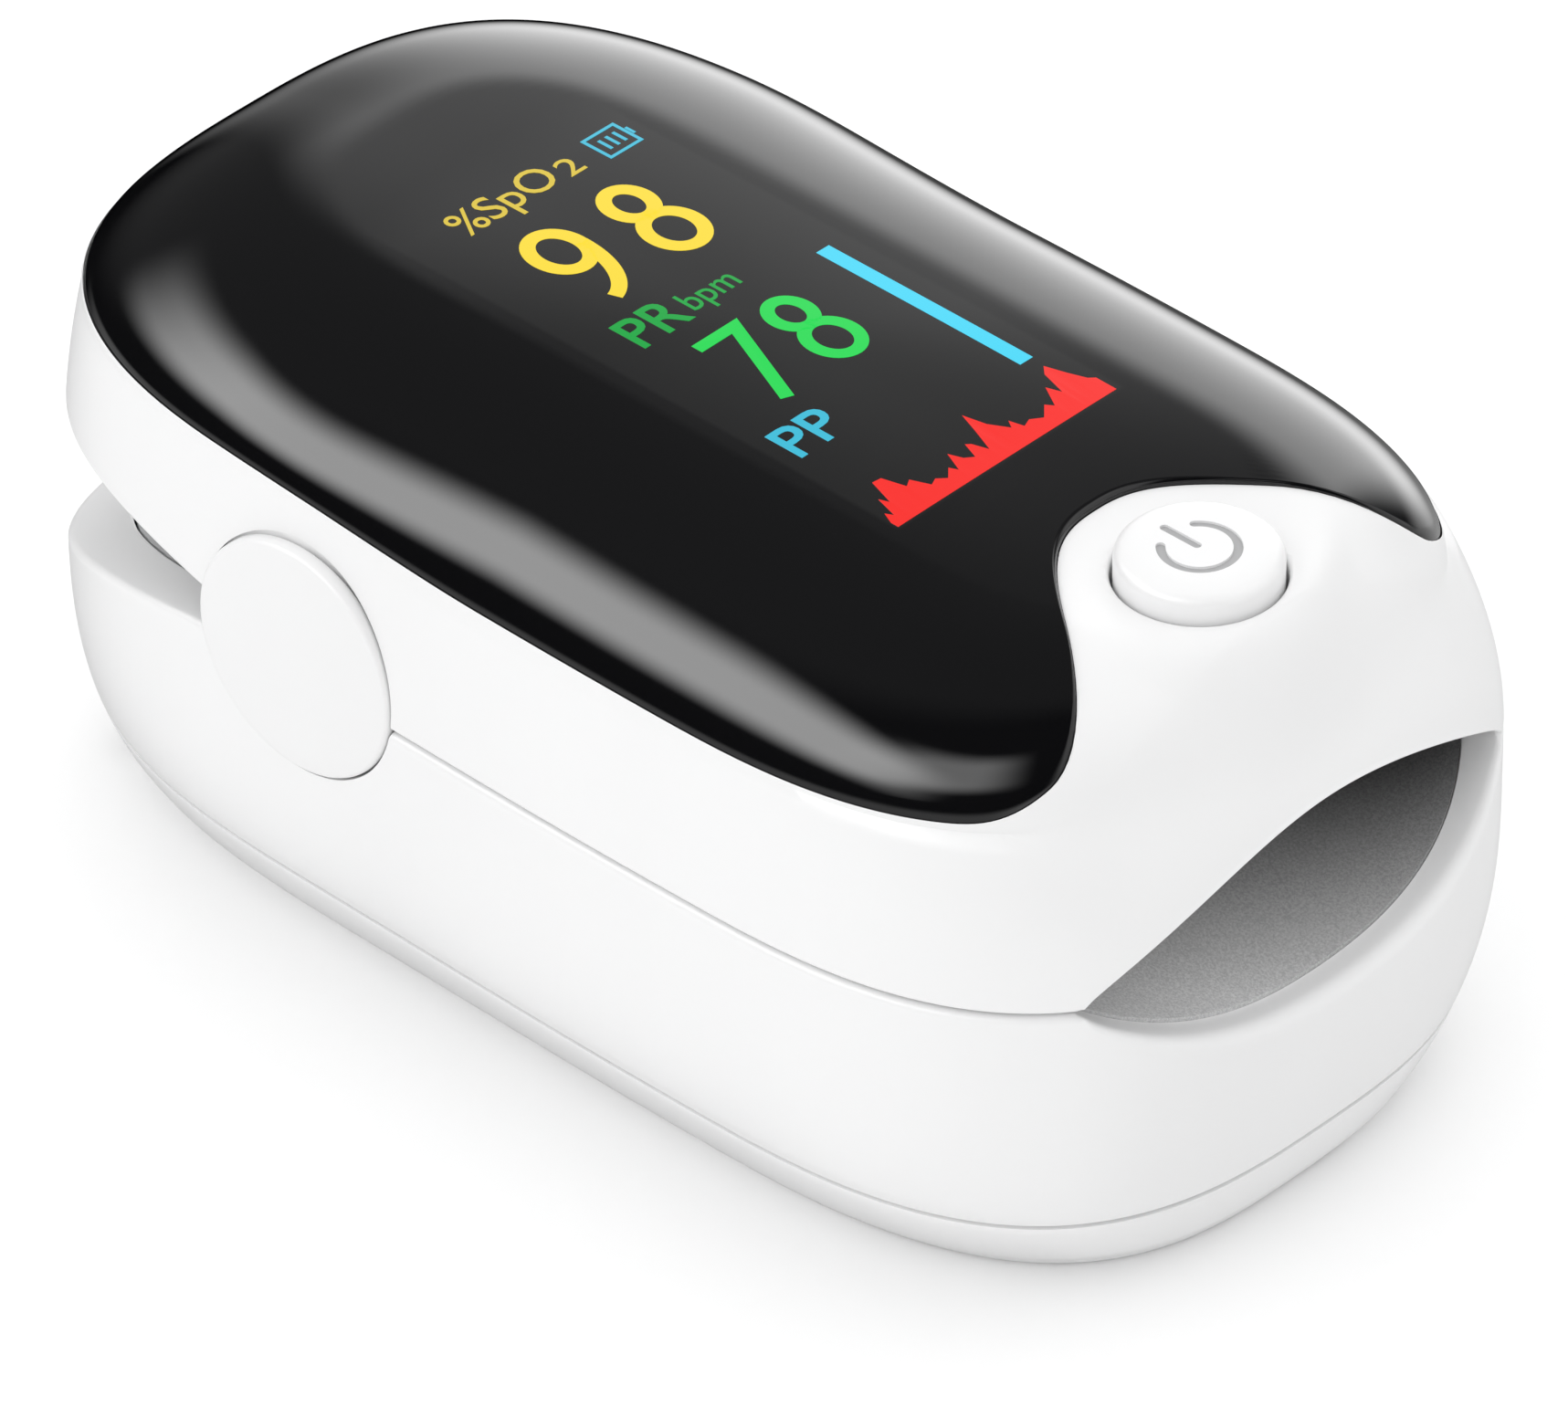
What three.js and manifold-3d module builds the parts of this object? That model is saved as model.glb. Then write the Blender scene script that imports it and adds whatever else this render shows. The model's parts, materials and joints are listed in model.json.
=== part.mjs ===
// Fingertip pulse oximeter, in millimetres.
// +X points out of the finger opening, +Y is to the wearer's left, +Z is up.
// The origin is on the table, under the middle of the object.

import * as THREE from 'three';
import { mergeVertices } from 'three/addons/utils/BufferGeometryUtils.js';
import Module from 'manifold-3d';

const wasm = await Module();
wasm.setup();

// ---------------------------------------------------------------- main sizes

const bodyLength = 64;
const bodyHalfWidth = 18.1;
const topHeight = 29;
const partingHeight = 15.8;
const baseSeamHeight = 3.9;
const windowSeamHeight = 23.75;

const outlinePower = 2.86;
const frontCap = 19.3;
const rearCap = 21.8;
const ringSegments = 54;

const widestHeight = 13;
const footDraw = { front: 2.6, rear: 0.9, side: 3.6, power: 2.8 };
const shoulderDraw = { front: 2.64, rear: 0.5, side: 1.02, power: 2 };
const crownInset = { front: 5, rear: 9.7, side: 9.7 };
const crownPower = 1.54;
const footRadius = 0.5;

const baySink = 0.6;
const above = topHeight + 5;
const below = -5;

const wall = 1.6;
const seamGap = 0.3;
const fitGap = 0.15;

const hinge = { x: -9.75, z: 16.75, capRadius: 5.6, capFace: 18.5, capDepth: 0.85, pinRadius: 1.1 };
const sensorX = 8;

const cell = { radius: 5.25, length: 44.5, nubRadius: 1.9, nubLength: 0.8, y: 5.6, z: 6.8 };
const bay = { rear: -24.7, front: 22.8, plate: 0.4, springLength: 2 };
const door = { halfWidth: 10.9, tongueHalfWidth: 11.9, tongueBottom: 0.75, thickness: 1.3, front: 23 };
const grip = { xs: [-27, -25.6, -24.2], width: 0.7, halfLength: 5, depth: 0.3 };

// ------------------------------------------------------------------- helpers

const clamp01 = (value) => Math.min(1, Math.max(0, value));

function solid(geometry) {
  const bare = geometry.clone();
  bare.deleteAttribute('normal');
  bare.deleteAttribute('uv');
  const merged = mergeVertices(bare, 1e-4);
  const mesh = new wasm.Mesh({
    numProp: 3,
    vertProperties: new Float32Array(merged.attributes.position.array),
    triVerts: new Uint32Array(merged.index.array),
  });
  return new wasm.Manifold(mesh);
}

function geometryOf(body) {
  const mesh = body.getMesh();
  const geometry = new THREE.BufferGeometry();
  geometry.setAttribute('position', new THREE.BufferAttribute(mesh.vertProperties, 3));
  geometry.setIndex(new THREE.BufferAttribute(mesh.triVerts, 1));
  return geometry;
}

// A box between two corners.
function box([x0, y0, z0], [x1, y1, z1]) {
  const geometry = new THREE.BoxGeometry(x1 - x0, y1 - y0, z1 - z0);
  geometry.translate((x0 + x1) / 2, (y0 + y1) / 2, (z0 + z1) / 2);
  return solid(geometry);
}

// A box that is the same on both sides of the middle plane.
function slab(x0, x1, halfWidth, z0, z1) {
  return box([x0, -halfWidth, z0], [x1, halfWidth, z1]);
}

// Round bars across and upright, from one end to the other.
function barY(radius, x, y0, y1, z, sides = 32) {
  const geometry = new THREE.CylinderGeometry(radius, radius, y1 - y0, sides);
  geometry.translate(x, (y0 + y1) / 2, z);
  return solid(geometry);
}

function barZ(radius, x, y, z0, z1, sides = 32) {
  const geometry = new THREE.CylinderGeometry(radius, radius, z1 - z0, sides);
  geometry.rotateX(Math.PI / 2);
  geometry.translate(x, y, (z0 + z1) / 2);
  return solid(geometry);
}

// A flat shape drawn in X and Z, given thickness along Y.
function sidePrism(shape, y0, y1, curveSegments = 12) {
  const geometry = new THREE.ExtrudeGeometry(shape, { depth: y1 - y0, bevelEnabled: false, curveSegments });
  geometry.rotateX(Math.PI / 2);
  geometry.translate(0, y1, 0);
  return solid(geometry);
}

// A flat shape drawn in Y and Z, given thickness along X.
function frontPrism(shape, x0, x1, curveSegments = 12) {
  const geometry = new THREE.ExtrudeGeometry(shape, { depth: x1 - x0, bevelEnabled: false, curveSegments });
  geometry.rotateY(Math.PI / 2);
  geometry.rotateX(Math.PI / 2);
  geometry.translate(x0, 0, 0);
  return solid(geometry);
}

// A flat shape drawn in X and Y, given thickness along Z.
function plate(shape, z0, z1, curveSegments = 12) {
  const geometry = new THREE.ExtrudeGeometry(shape, { depth: z1 - z0, bevelEnabled: false, curveSegments });
  geometry.translate(0, 0, z0);
  return solid(geometry);
}

function smoothShape(start, curvePoints, corners) {
  const shape = new THREE.Shape();
  shape.moveTo(...start);
  shape.splineThru(curvePoints.map((point) => new THREE.Vector2(...point)));
  corners.forEach((corner) => shape.lineTo(...corner));
  shape.closePath();
  return shape;
}

// A closed skin through a stack of rings. Each ring turns an angle into [x, y] at its height.
function stack(rings, segments) {
  const profile = rings.map((ring, index) => new THREE.Vector2(1, index));
  const bottom = new THREE.Vector2(0, 0);
  const top = new THREE.Vector2(0, rings.length - 1);
  const halfStep = Math.PI / segments;
  const geometry = new THREE.LatheGeometry([bottom, ...profile, top], segments, halfStep);
  const position = geometry.attributes.position;
  for (let i = 0; i < position.count; i += 1) {
    const across = position.getX(i);
    const along = position.getZ(i);
    const ring = rings[Math.round(position.getY(i))];
    const onAxis = Math.hypot(across, along) < 0.5;
    const [a, b] = onAxis ? ring.middle : ring.point(Math.atan2(across, along));
    position.setXYZ(i, ...ring.place(a, b));
  }
  return solid(geometry);
}

const both = (make) => make(-1).add(make(1));

// ------------------------------------------------------------ the outer form

// Half sizes of the plan outline at a height, below the crown.
function planSize(z) {
  const foot = clamp01((widestHeight - z) / widestHeight) ** footDraw.power;
  const rise = clamp01((z - partingHeight) / (windowSeamHeight - partingHeight));
  const shoulder = rise ** shoulderDraw.power;
  return {
    front: bodyLength / 2 - footDraw.front * foot - shoulderDraw.front * shoulder,
    rear: bodyLength / 2 - footDraw.rear * foot - shoulderDraw.rear * shoulder,
    side: bodyHalfWidth - footDraw.side * foot - shoulderDraw.side * shoulder,
  };
}

// One level ring of the body: two super-elliptic ends with straight sides between them.
// The crown share runs from 0 at the window seam to 1 at the edge of the flat top.
function bodyRing(z, inset, height = z, crownShare = 0) {
  const size = planSize(z);
  const sideInset = inset + crownInset.side * crownShare;
  const point = (angle) => {
    const ahead = Math.cos(angle) >= 0;
    const cap = (ahead ? frontCap : rearCap) - sideInset;
    const moveIn = inset + (ahead ? crownInset.front : crownInset.rear) * crownShare;
    const reach = (ahead ? size.front : size.rear) - moveIn;
    const along = reach - cap + cap * Math.abs(Math.cos(angle)) ** (2 / outlinePower);
    const across = (size.side - sideInset) * Math.abs(Math.sin(angle)) ** (2 / outlinePower);
    return [ahead ? along : -along, Math.sign(Math.sin(angle)) * across];
  };
  return { point, middle: [0, 0], place: (x, y) => [x, y, height] };
}

// The whole body form, moved in by an inset, with its crown lowered by the same amount.
// A lower top flattens the crown, from nothing at the window seam to the full drop on the flat.
function bodyForm(inset = 0, lowest = 0, top = topHeight) {
  const sideHeights = [lowest, 2, baseSeamHeight, 7, widestHeight, partingHeight, 19, 21.5];
  const crownTurns = [0, 0.15, 0.32, 0.5, 0.72, 1];
  const foot = bodyRing(0, inset + footRadius, lowest);
  const sides = sideHeights.map((z, i) => bodyRing(z, inset, i === 0 ? lowest + footRadius : z));
  const crown = crownTurns.map((turn) => {
    const angle = (turn * Math.PI) / 2;
    const rise = (top - windowSeamHeight) * Math.sin(angle) ** crownPower;
    return bodyRing(windowSeamHeight, inset, windowSeamHeight - inset + rise, 1 - Math.cos(angle));
  });
  return stack([foot, ...sides, ...crown], ringSegments);
}

// An upright column with the plan of the window seam, moved in by an inset.
function column(inset, z0, z1) {
  const ring = (height) => bodyRing(windowSeamHeight, inset, height);
  return stack([ring(z0), ring(z1)], ringSegments);
}

const outerForm = bodyForm();
const caseForm = bodyForm(0, 0, topHeight - baySink);
const cavityForm = bodyForm(wall);

function layer(form, z0, z1) {
  return form.intersect(slab(-bodyLength, bodyLength, bodyLength, z0, z1));
}

// ------------------------------------------------------- the finger channel

// Half width and heights of the finger channel along X; it is closed at its inner end.
const channelStations = [
  { x: -7, halfWidth: 1.2, below: 0.6, above: 0.9 },
  { x: -6, halfWidth: 5.2, below: 1.3, above: 2.1 },
  { x: -3, halfWidth: 8.8, below: 1.8, above: 2.9 },
  { x: 4, halfWidth: 10.6, below: 2, above: 3.2 },
  { x: 21.5, halfWidth: 11.5, below: 2, above: 3.4 },
  { x: 25.5, halfWidth: 12, below: 2.7, above: 3.8 },
  { x: 31, halfWidth: 12.4, below: 3.8, above: 4.6 },
  { x: 36, halfWidth: 12.7, below: 4.8, above: 5.4 },
];
const channelSegments = 30;

function channelForm(growth) {
  const rings = channelStations.map((station, index) => {
    const x = index === 0 ? station.x - growth : station.x;
    const point = (angle) => {
      const height = (Math.cos(angle) >= 0 ? station.above : station.below) + growth;
      return [(station.halfWidth + growth) * Math.sin(angle), height * Math.cos(angle)];
    };
    return { point, middle: [0, 0], place: (y, z) => [x, y, partingHeight + z] };
  });
  return stack(rings.reverse(), channelSegments);
}

const fingerSpace = channelForm(0);
const padBack = channelForm(1.1);
const frameInside = channelForm(1.2);
const frameOutside = channelForm(2);

// ------------------------------------------------------- cuts through the form

// Sloped rear rim of the lower half; everything above this line is open.
function rearRimCut(drop = 0, halfWidth = bodyLength) {
  const line = [[-16, 15.5 - drop], [-19.4, 14.8 - drop], [-23, 13.8 - drop], [-26.5, 12.4 - drop], [-33, 9.2 - drop]];
  const corners = [[-40, 5], [-40, 40], [-10.5, 40]];
  const shape = smoothShape([-10.5, partingHeight - drop], line, corners);
  return sidePrism(shape, -halfWidth, halfWidth);
}

// Raised rear edge of the upper half; everything below this line is open.
function rearLiftCut(lift = 0) {
  const line = [[-12.5, 16.7 + lift], [-16, 17.4 + lift], [-20, 18 + lift], [-33, 18.3 + lift]];
  const corners = [[-40, 18.3 + lift], [-40, 0], [-9.5, 0]];
  return sidePrism(smoothShape([-9.5, partingHeight + lift], line, corners), -bodyLength, bodyLength);
}

// Lens-shaped finger opening through the front walls.
const mouth = { halfWidth: 12.6, rise: 4.75, dip: 4, power: 2.05, bluntness: 0.8, backX: 24 };

function mouthCut() {
  const edge = (height) => (share) => {
    const y = mouth.halfWidth * share;
    return [y, partingHeight + height * (1 - Math.abs(share) ** mouth.power) ** mouth.bluntness];
  };
  const shares = [-1, -0.93, -0.8, -0.6, -0.3, 0, 0.3, 0.6, 0.8, 0.93, 1];
  const upper = shares.map(edge(mouth.rise));
  const lower = shares.map(edge(-mouth.dip)).reverse();
  const shape = new THREE.Shape([...upper, ...lower.slice(1, -1)].map((point) => new THREE.Vector2(...point)));
  return frontPrism(shape, mouth.backX, bodyLength);
}

// Plan of the button bay: where the case, not the window, forms the top.
// Its edge is a smooth bulge toward the rear, between the two front lobes of the window.
const bayEdge = { x: 17.95, reach: 8.5, halfWidth: 11.7, power: 1.25, steps: 11 };

function bayEdgeX(y) {
  const share = Math.min(1, Math.abs(y) / bayEdge.halfWidth);
  return bayEdge.x + bayEdge.reach * ((1 - Math.cos(Math.PI * share)) / 2) ** bayEdge.power;
}

function bayPlan(outset = 0) {
  const shape = new THREE.Shape();
  shape.moveTo(bodyLength, -bodyLength);
  shape.lineTo(bodyLength, bodyLength);
  shape.lineTo(bayEdgeX(bayEdge.halfWidth) - outset, bodyLength);
  for (let step = bayEdge.steps; step >= -bayEdge.steps; step -= 1) {
    const y = (bayEdge.halfWidth * step) / bayEdge.steps;
    shape.lineTo(bayEdgeX(y) - outset, y);
  }
  shape.lineTo(bayEdgeX(bayEdge.halfWidth) - outset, -bodyLength);
  shape.closePath();
  return shape;
}

const cutMouth = mouthCut();

// ----------------------------------------------------------------- materials

const look = {
  whiteCase: { color: '#f2f2f2', roughness: 0.35, metalness: 0 },
  whiteButton: { color: '#f4f4f4', roughness: 0.4, metalness: 0 },
  greyFrame: { color: '#c9cacb', roughness: 0.55, metalness: 0 },
  greySilicone: { color: '#77787a', roughness: 0.9, metalness: 0 },
  blackWindow: { color: '#08090a', roughness: 0.08, metalness: 0 },
  displayGlass: { color: '#141a20', roughness: 0.1, metalness: 0 },
  foam: { color: '#1c1c1e', roughness: 1, metalness: 0 },
  board: { color: '#1d5b38', roughness: 0.5, metalness: 0 },
  ribbon: { color: '#b5762a', roughness: 0.45, metalness: 0 },
  chip: { color: '#1a1b1d', roughness: 0.6, metalness: 0 },
  steel: { color: '#b9bcc0', roughness: 0.35, metalness: 1 },
  springWire: { color: '#8f9296', roughness: 0.3, metalness: 1 },
  clearWindow: { color: '#d9d3c8', roughness: 0.2, metalness: 0 },
  emitter: { color: '#e6e0cf', roughness: 0.4, metalness: 0 },
  cellJacket: { color: '#4f5357', roughness: 0.4, metalness: 0.2 },
};

const oximeter = new THREE.Group();
oximeter.name = 'pulse_oximeter';

function place(name, body, finish) {
  const mesh = new THREE.Mesh(geometryOf(body), new THREE.MeshStandardMaterial(finish));
  mesh.name = name;
  oximeter.add(mesh);
}

// --------------------------------------------------------------- upper case

const shelf = { bottom: 22.6, width: 1.8, roomTop: 24.2 };
const pilotRadius = 0.7;
const upperBoss = { x: -26.2, y: 8.2, radius: 1.7, bottom: 19.7, top: 23, holeTop: 22.2 };
const button = { x: 23.7, radius: 3.5, top: topHeight + 0.6, underside: 26.9, edge: 0.35, stemRadius: 1.3 };
const windowThickness = 1.3;

function capRecess(clearance) {
  const radius = hinge.capRadius + clearance;
  const floor = hinge.capFace - hinge.capDepth - clearance;
  return both((side) => {
    const [y0, y1] = side > 0 ? [floor, bodyLength] : [-bodyLength, -floor];
    return barY(radius, hinge.x, y0, y1, hinge.z, 48);
  });
}

function pinHoles(radius) {
  return barY(radius, hinge.x, -bodyLength, bodyLength, hinge.z, 24);
}

function upperCase() {
  const shell = layer(caseForm, partingHeight + seamGap / 2, above);
  const aboveShelf = layer(caseForm, windowSeamHeight, above).subtract(plate(bayPlan(), 0, above));
  const room = layer(cavityForm, 0, shelf.bottom);
  const boardRoom = column(wall + shelf.width, partingHeight, shelf.roomTop);
  const throat = column(wall + shelf.width, partingHeight, above).subtract(plate(bayPlan(), 0, above));
  const bayRoom = layer(bodyForm(wall + baySink), 0, above).intersect(plate(bayPlan(-wall), 0, above));
  const bosses = both((side) => barZ(upperBoss.radius, upperBoss.x, side * upperBoss.y, upperBoss.bottom, upperBoss.top, 20));
  const bossHoles = both((side) => barZ(pilotRadius, upperBoss.x, side * upperBoss.y, 0, upperBoss.holeTop, 16));
  const buttonHole = barZ(button.radius + seamGap, button.x, 0, partingHeight, above, 40);
  return shell
    .subtract(aboveShelf)
    .subtract(room)
    .subtract(boardRoom)
    .subtract(throat)
    .subtract(bayRoom)
    .add(bosses)
    .subtract(bossHoles)
    .subtract(buttonHole)
    .subtract(cutMouth)
    .subtract(rearLiftCut())
    .subtract(capRecess(seamGap))
    .subtract(pinHoles(hinge.pinRadius + seamGap));
}

function displayWindow() {
  const skin = layer(outerForm, windowSeamHeight + fitGap, above);
  const inside = layer(bodyForm(windowThickness), 0, above);
  return skin.subtract(inside).subtract(plate(bayPlan(seamGap), 0, above));
}

// -------------------------------------------------- inside of the upper half

const board = { bottom: 22.7, top: 23.5, inset: 3.6 };
const screen = { x0: -20.5, x1: 15, halfWidth: 9.4, bottom: 24.7, top: 26.1 };
const upperDeck = { bottom: 18.8, top: 19.5, front: -4.5 };
const flange = { thickness: 0.8, front: 30.5, upperRear: -5, lowerRear: -13.5 };
const frameGap = 0.25;
const hingeNotch = { x0: hinge.x - 4, x1: hinge.x + 4, y: 11.4 };
const ribbonNotch = { x0: -12.4, x1: -9.6, halfWidth: 2.4 };
const pocket = { halfLength: 3.3, halfWidth: 2.8 };

function hingeNotches(z0, z1) {
  return both((side) => {
    const [y0, y1] = side > 0 ? [hingeNotch.y, bodyLength] : [-bodyLength, -hingeNotch.y];
    return box([hingeNotch.x0, y0, z0], [hingeNotch.x1, y1, z1]);
  });
}

function sensorPocket(z0, z1, spare = 0) {
  const halfLength = pocket.halfLength + spare;
  return slab(sensorX - halfLength, sensorX + halfLength, pocket.halfWidth + spare, z0, z1);
}

const upperSide = [partingHeight + seamGap / 2 + 0.2, above];
const lowerSide = [0, partingHeight - seamGap / 2 - 0.1];

function upperInnerFrame() {
  const form = bodyForm(wall + frameGap);
  const edge = layer(form, upperSide[0], upperSide[0] + flange.thickness)
    .intersect(slab(flange.upperRear, flange.front, bodyLength, 0, above));
  const shell = layer(frameOutside, ...upperSide).intersect(form);
  const deck = layer(form, upperDeck.bottom, upperDeck.top)
    .intersect(slab(-bodyLength, upperDeck.front, bodyLength, 0, above));
  const screwHoles = both((side) => barZ(pilotRadius + frameGap, upperBoss.x, side * upperBoss.y, 0, above, 16));
  return edge
    .add(shell)
    .add(deck)
    .subtract(frameInside)
    .subtract(hingeNotches(0, above))
    .subtract(slab(ribbonNotch.x0, ribbonNotch.x1, ribbonNotch.halfWidth, 0, above))
    .subtract(sensorPocket(partingHeight, above))
    .subtract(screwHoles);
}

function pad(side) {
  return layer(padBack, ...side)
    .intersect(bodyForm(wall + frameGap))
    .subtract(fingerSpace)
    .subtract(sensorPocket(0, above));
}

// The clear block that fills the pad's pocket, flush with the pad.
function sensorWindow(side) {
  return layer(padBack, ...side).subtract(fingerSpace).intersect(sensorPocket(0, above, -seamGap));
}

function mainBoard() {
  const sheet = column(board.inset, board.bottom, board.top);
  const bossRoom = both((side) => barZ(upperBoss.radius + 0.5, upperBoss.x, side * upperBoss.y, 0, above, 20));
  return sheet.subtract(bossRoom);
}

function displayPanel() {
  return slab(screen.x0, screen.x1, screen.halfWidth, screen.bottom, screen.top);
}

function displayFoam() {
  const outer = slab(screen.x0 + 2, screen.x1 - 1, screen.halfWidth - 1, board.top + 0.1, screen.bottom - 0.1);
  return outer.subtract(slab(screen.x0 + 5, screen.x1 - 4, screen.halfWidth - 4, 0, above));
}

// Film cable that folds from the rear edge of the display down to the board.
function displayRibbon() {
  const rear = screen.x0 - 0.15;
  const shape = new THREE.Shape();
  shape.moveTo(rear, screen.bottom + 0.5);
  shape.lineTo(rear - 0.6, screen.bottom + 0.5);
  shape.absarc(rear - 0.6, screen.bottom - 0.2, 0.7, Math.PI / 2, Math.PI, false);
  shape.lineTo(rear - 1.3, board.top + 0.1);
  shape.lineTo(rear - 1.1, board.top + 0.1);
  shape.lineTo(rear - 1.1, screen.bottom - 0.2);
  shape.absarc(rear - 0.6, screen.bottom - 0.2, 0.5, Math.PI, Math.PI / 2, true);
  shape.lineTo(rear, screen.bottom + 0.3);
  shape.closePath();
  return sidePrism(shape, -5, 5, 6);
}

const contactGap = 0.05;
const speaker = { x: -19.5, radius: 4.2, bottom: 20.4, portRadius: 0.9 };
const keySwitch = { halfSize: 2.3, height: 1.2, plungerRadius: 1, plungerTop: 1.7 };

function chip(x, y, length, width, height) {
  const top = board.bottom - contactGap;
  return box([x - length / 2, y - width / 2, top - height], [x + length / 2, y + width / 2, top]);
}

function buzzer() {
  const body = barZ(speaker.radius, speaker.x, 0, speaker.bottom, board.bottom - contactGap, 32);
  return body.subtract(barZ(speaker.portRadius, speaker.x, 0, partingHeight, speaker.bottom + 0.8, 16));
}

function buttonSwitch() {
  const { halfSize, height, plungerRadius, plungerTop } = keySwitch;
  const body = slab(button.x - halfSize, button.x + halfSize, halfSize, board.top + contactGap, board.top + height);
  return body.add(barZ(plungerRadius, button.x, 0, board.top + height - 0.2, board.top + plungerTop, 20));
}

function powerButton() {
  const { x, radius, top, underside, edge, stemRadius } = button;
  const cap = barZ(radius, x, 0, underside, top - edge, 40);
  const rim = new THREE.CylinderGeometry(radius - edge, radius, edge, 40);
  rim.rotateX(Math.PI / 2);
  rim.translate(x, 0, top - edge / 2);
  const stem = barZ(stemRadius, x, 0, board.top + keySwitch.plungerTop + 0.5, underside + 0.2, 20);
  return cap.add(solid(rim)).add(stem);
}

function screw(x, y, headZ, tipZ) {
  const up = tipZ > headZ ? 1 : -1;
  const span = (a, b) => [Math.min(a, b), Math.max(a, b)];
  const head = { radius: 1.2, height: 0.7 };
  const shankRadius = 0.55;
  const drive = { halfWidth: 0.2, depth: 0.3 };
  const cap = barZ(head.radius, x, y, ...span(headZ, headZ + up * head.height), 20);
  const shank = barZ(shankRadius, x, y, ...span(headZ + up * head.height * 0.7, tipZ), 16);
  const slot = box(
    [x - 2 * head.radius, y - drive.halfWidth, headZ - drive.depth],
    [x + 2 * head.radius, y + drive.halfWidth, headZ + drive.depth],
  );
  return cap.add(shank).subtract(slot);
}

// --------------------------------------------------------------- lower half

const baseBoss = { x: 26, y: 7.4, radius: 1.8, top: 9.4 };
const ear = { halfLength: 3, y0: 14.2, y1: 16.1, bottom: 14.3 };
const rearBandWidth = 2.5;

function lowerCase() {
  const bottom = baseSeamHeight + seamGap / 2;
  const top = partingHeight - seamGap / 2;
  const ring = layer(outerForm, bottom, top).subtract(cavityForm);
  const thickRear = layer(outerForm, 8, top)
    .subtract(bodyForm(rearBandWidth))
    .intersect(slab(-bodyLength, -15, bodyLength, 0, above));
  const inner = layer(bodyForm(wall - 0.4), bottom, 11.9);
  const bayWalls = slab(bay.rear - 1.6, bay.rear - fitGap, bodyLength, bottom, 11)
    .add(slab(bay.front + fitGap, bay.front + 1.6, bodyLength, bottom, 9.6))
    .intersect(inner);
  const bosses = both((side) => barZ(baseBoss.radius, baseBoss.x, side * baseBoss.y, bottom, baseBoss.top, 20));
  const holes = both((side) => barZ(pilotRadius, baseBoss.x, side * baseBoss.y, 0, baseBoss.top - 1, 16));
  return ring
    .add(thickRear)
    .add(bayWalls)
    .add(bosses)
    .subtract(holes)
    .subtract(cutMouth)
    .subtract(rearRimCut())
    .subtract(capRecess(seamGap));
}

function lowerInnerFrame() {
  const form = bodyForm(wall + frameGap);
  const edge = layer(form, lowerSide[1] - flange.thickness, lowerSide[1])
    .intersect(slab(flange.lowerRear, flange.front, bodyLength, 0, above));
  const shell = layer(frameOutside, ...lowerSide).intersect(form);
  const deck = layer(bodyForm(rearBandWidth + 0.12), 5, lowerSide[1])
    .intersect(slab(-bodyLength, -5, bodyLength, 0, above))
    .subtract(rearRimCut(0.25))
    .intersect(rearRimCut(1.05));
  const ears = both((side) => {
    const [y0, y1] = side > 0 ? [ear.y0, ear.y1] : [-ear.y1, -ear.y0];
    const foot = box([hinge.x - ear.halfLength, y0, ear.bottom], [hinge.x + ear.halfLength, y1, hinge.z]);
    return foot.add(barY(ear.halfLength, hinge.x, y0, y1, hinge.z, 28));
  });
  const springHalf = ear.halfLength - seamGap;
  const springRoom = both((side) => {
    const [y0, y1] = side > 0 ? [hingeNotch.y, ear.y0] : [-ear.y0, -hingeNotch.y];
    return box([hinge.x - springHalf, y0, ear.bottom], [hinge.x + springHalf, y1, hinge.z + ear.halfLength]);
  });
  return edge
    .add(shell)
    .add(deck)
    .subtract(springRoom)
    .add(ears)
    .subtract(pinHoles(hinge.pinRadius + 0.1))
    .subtract(frameInside)
    .subtract(slab(ribbonNotch.x0, ribbonNotch.x1, ribbonNotch.halfWidth, 0, above))
    .subtract(sensorPocket(0, partingHeight));
}

const headBore = { radius: 1.5, depth: 0.9 };
const shankHole = 0.8;

function baseShell() {
  const floor = 1.9;
  const shell = layer(outerForm, 0, baseSeamHeight - seamGap / 2);
  const room = layer(bodyForm(wall), floor, baseSeamHeight);
  const doorFront = door.front + seamGap;
  const opening = slab(-bodyLength, doorFront, door.halfWidth + seamGap, below, door.thickness + fitGap);
  const well = slab(bay.rear - 1, doorFront, door.halfWidth + seamGap, below, floor + 1);
  const tongueHalf = door.tongueHalfWidth + seamGap;
  const groove = slab(-bodyLength, doorFront, tongueHalf, door.tongueBottom - fitGap, door.thickness + fitGap);
  const counterbores = both((side) => barZ(headBore.radius, baseBoss.x, side * baseBoss.y, below, headBore.depth, 20));
  const holes = both((side) => barZ(shankHole, baseBoss.x, side * baseBoss.y, below, baseSeamHeight, 16));
  return shell
    .subtract(room)
    .subtract(opening)
    .subtract(well)
    .subtract(groove)
    .subtract(counterbores)
    .subtract(holes);
}

function batteryDoor() {
  const sheet = slab(-bodyLength, door.front, door.halfWidth, 0, door.thickness);
  const tongues = slab(-bodyLength, door.front, door.tongueHalfWidth, door.tongueBottom, door.thickness);
  const grips = grip.xs.map((x) => slab(x, x + grip.width, grip.halfLength, below, grip.depth));
  const blank = sheet.add(tongues).intersect(outerForm);
  return grips.reduce((body, groove) => body.subtract(groove), blank);
}

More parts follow.
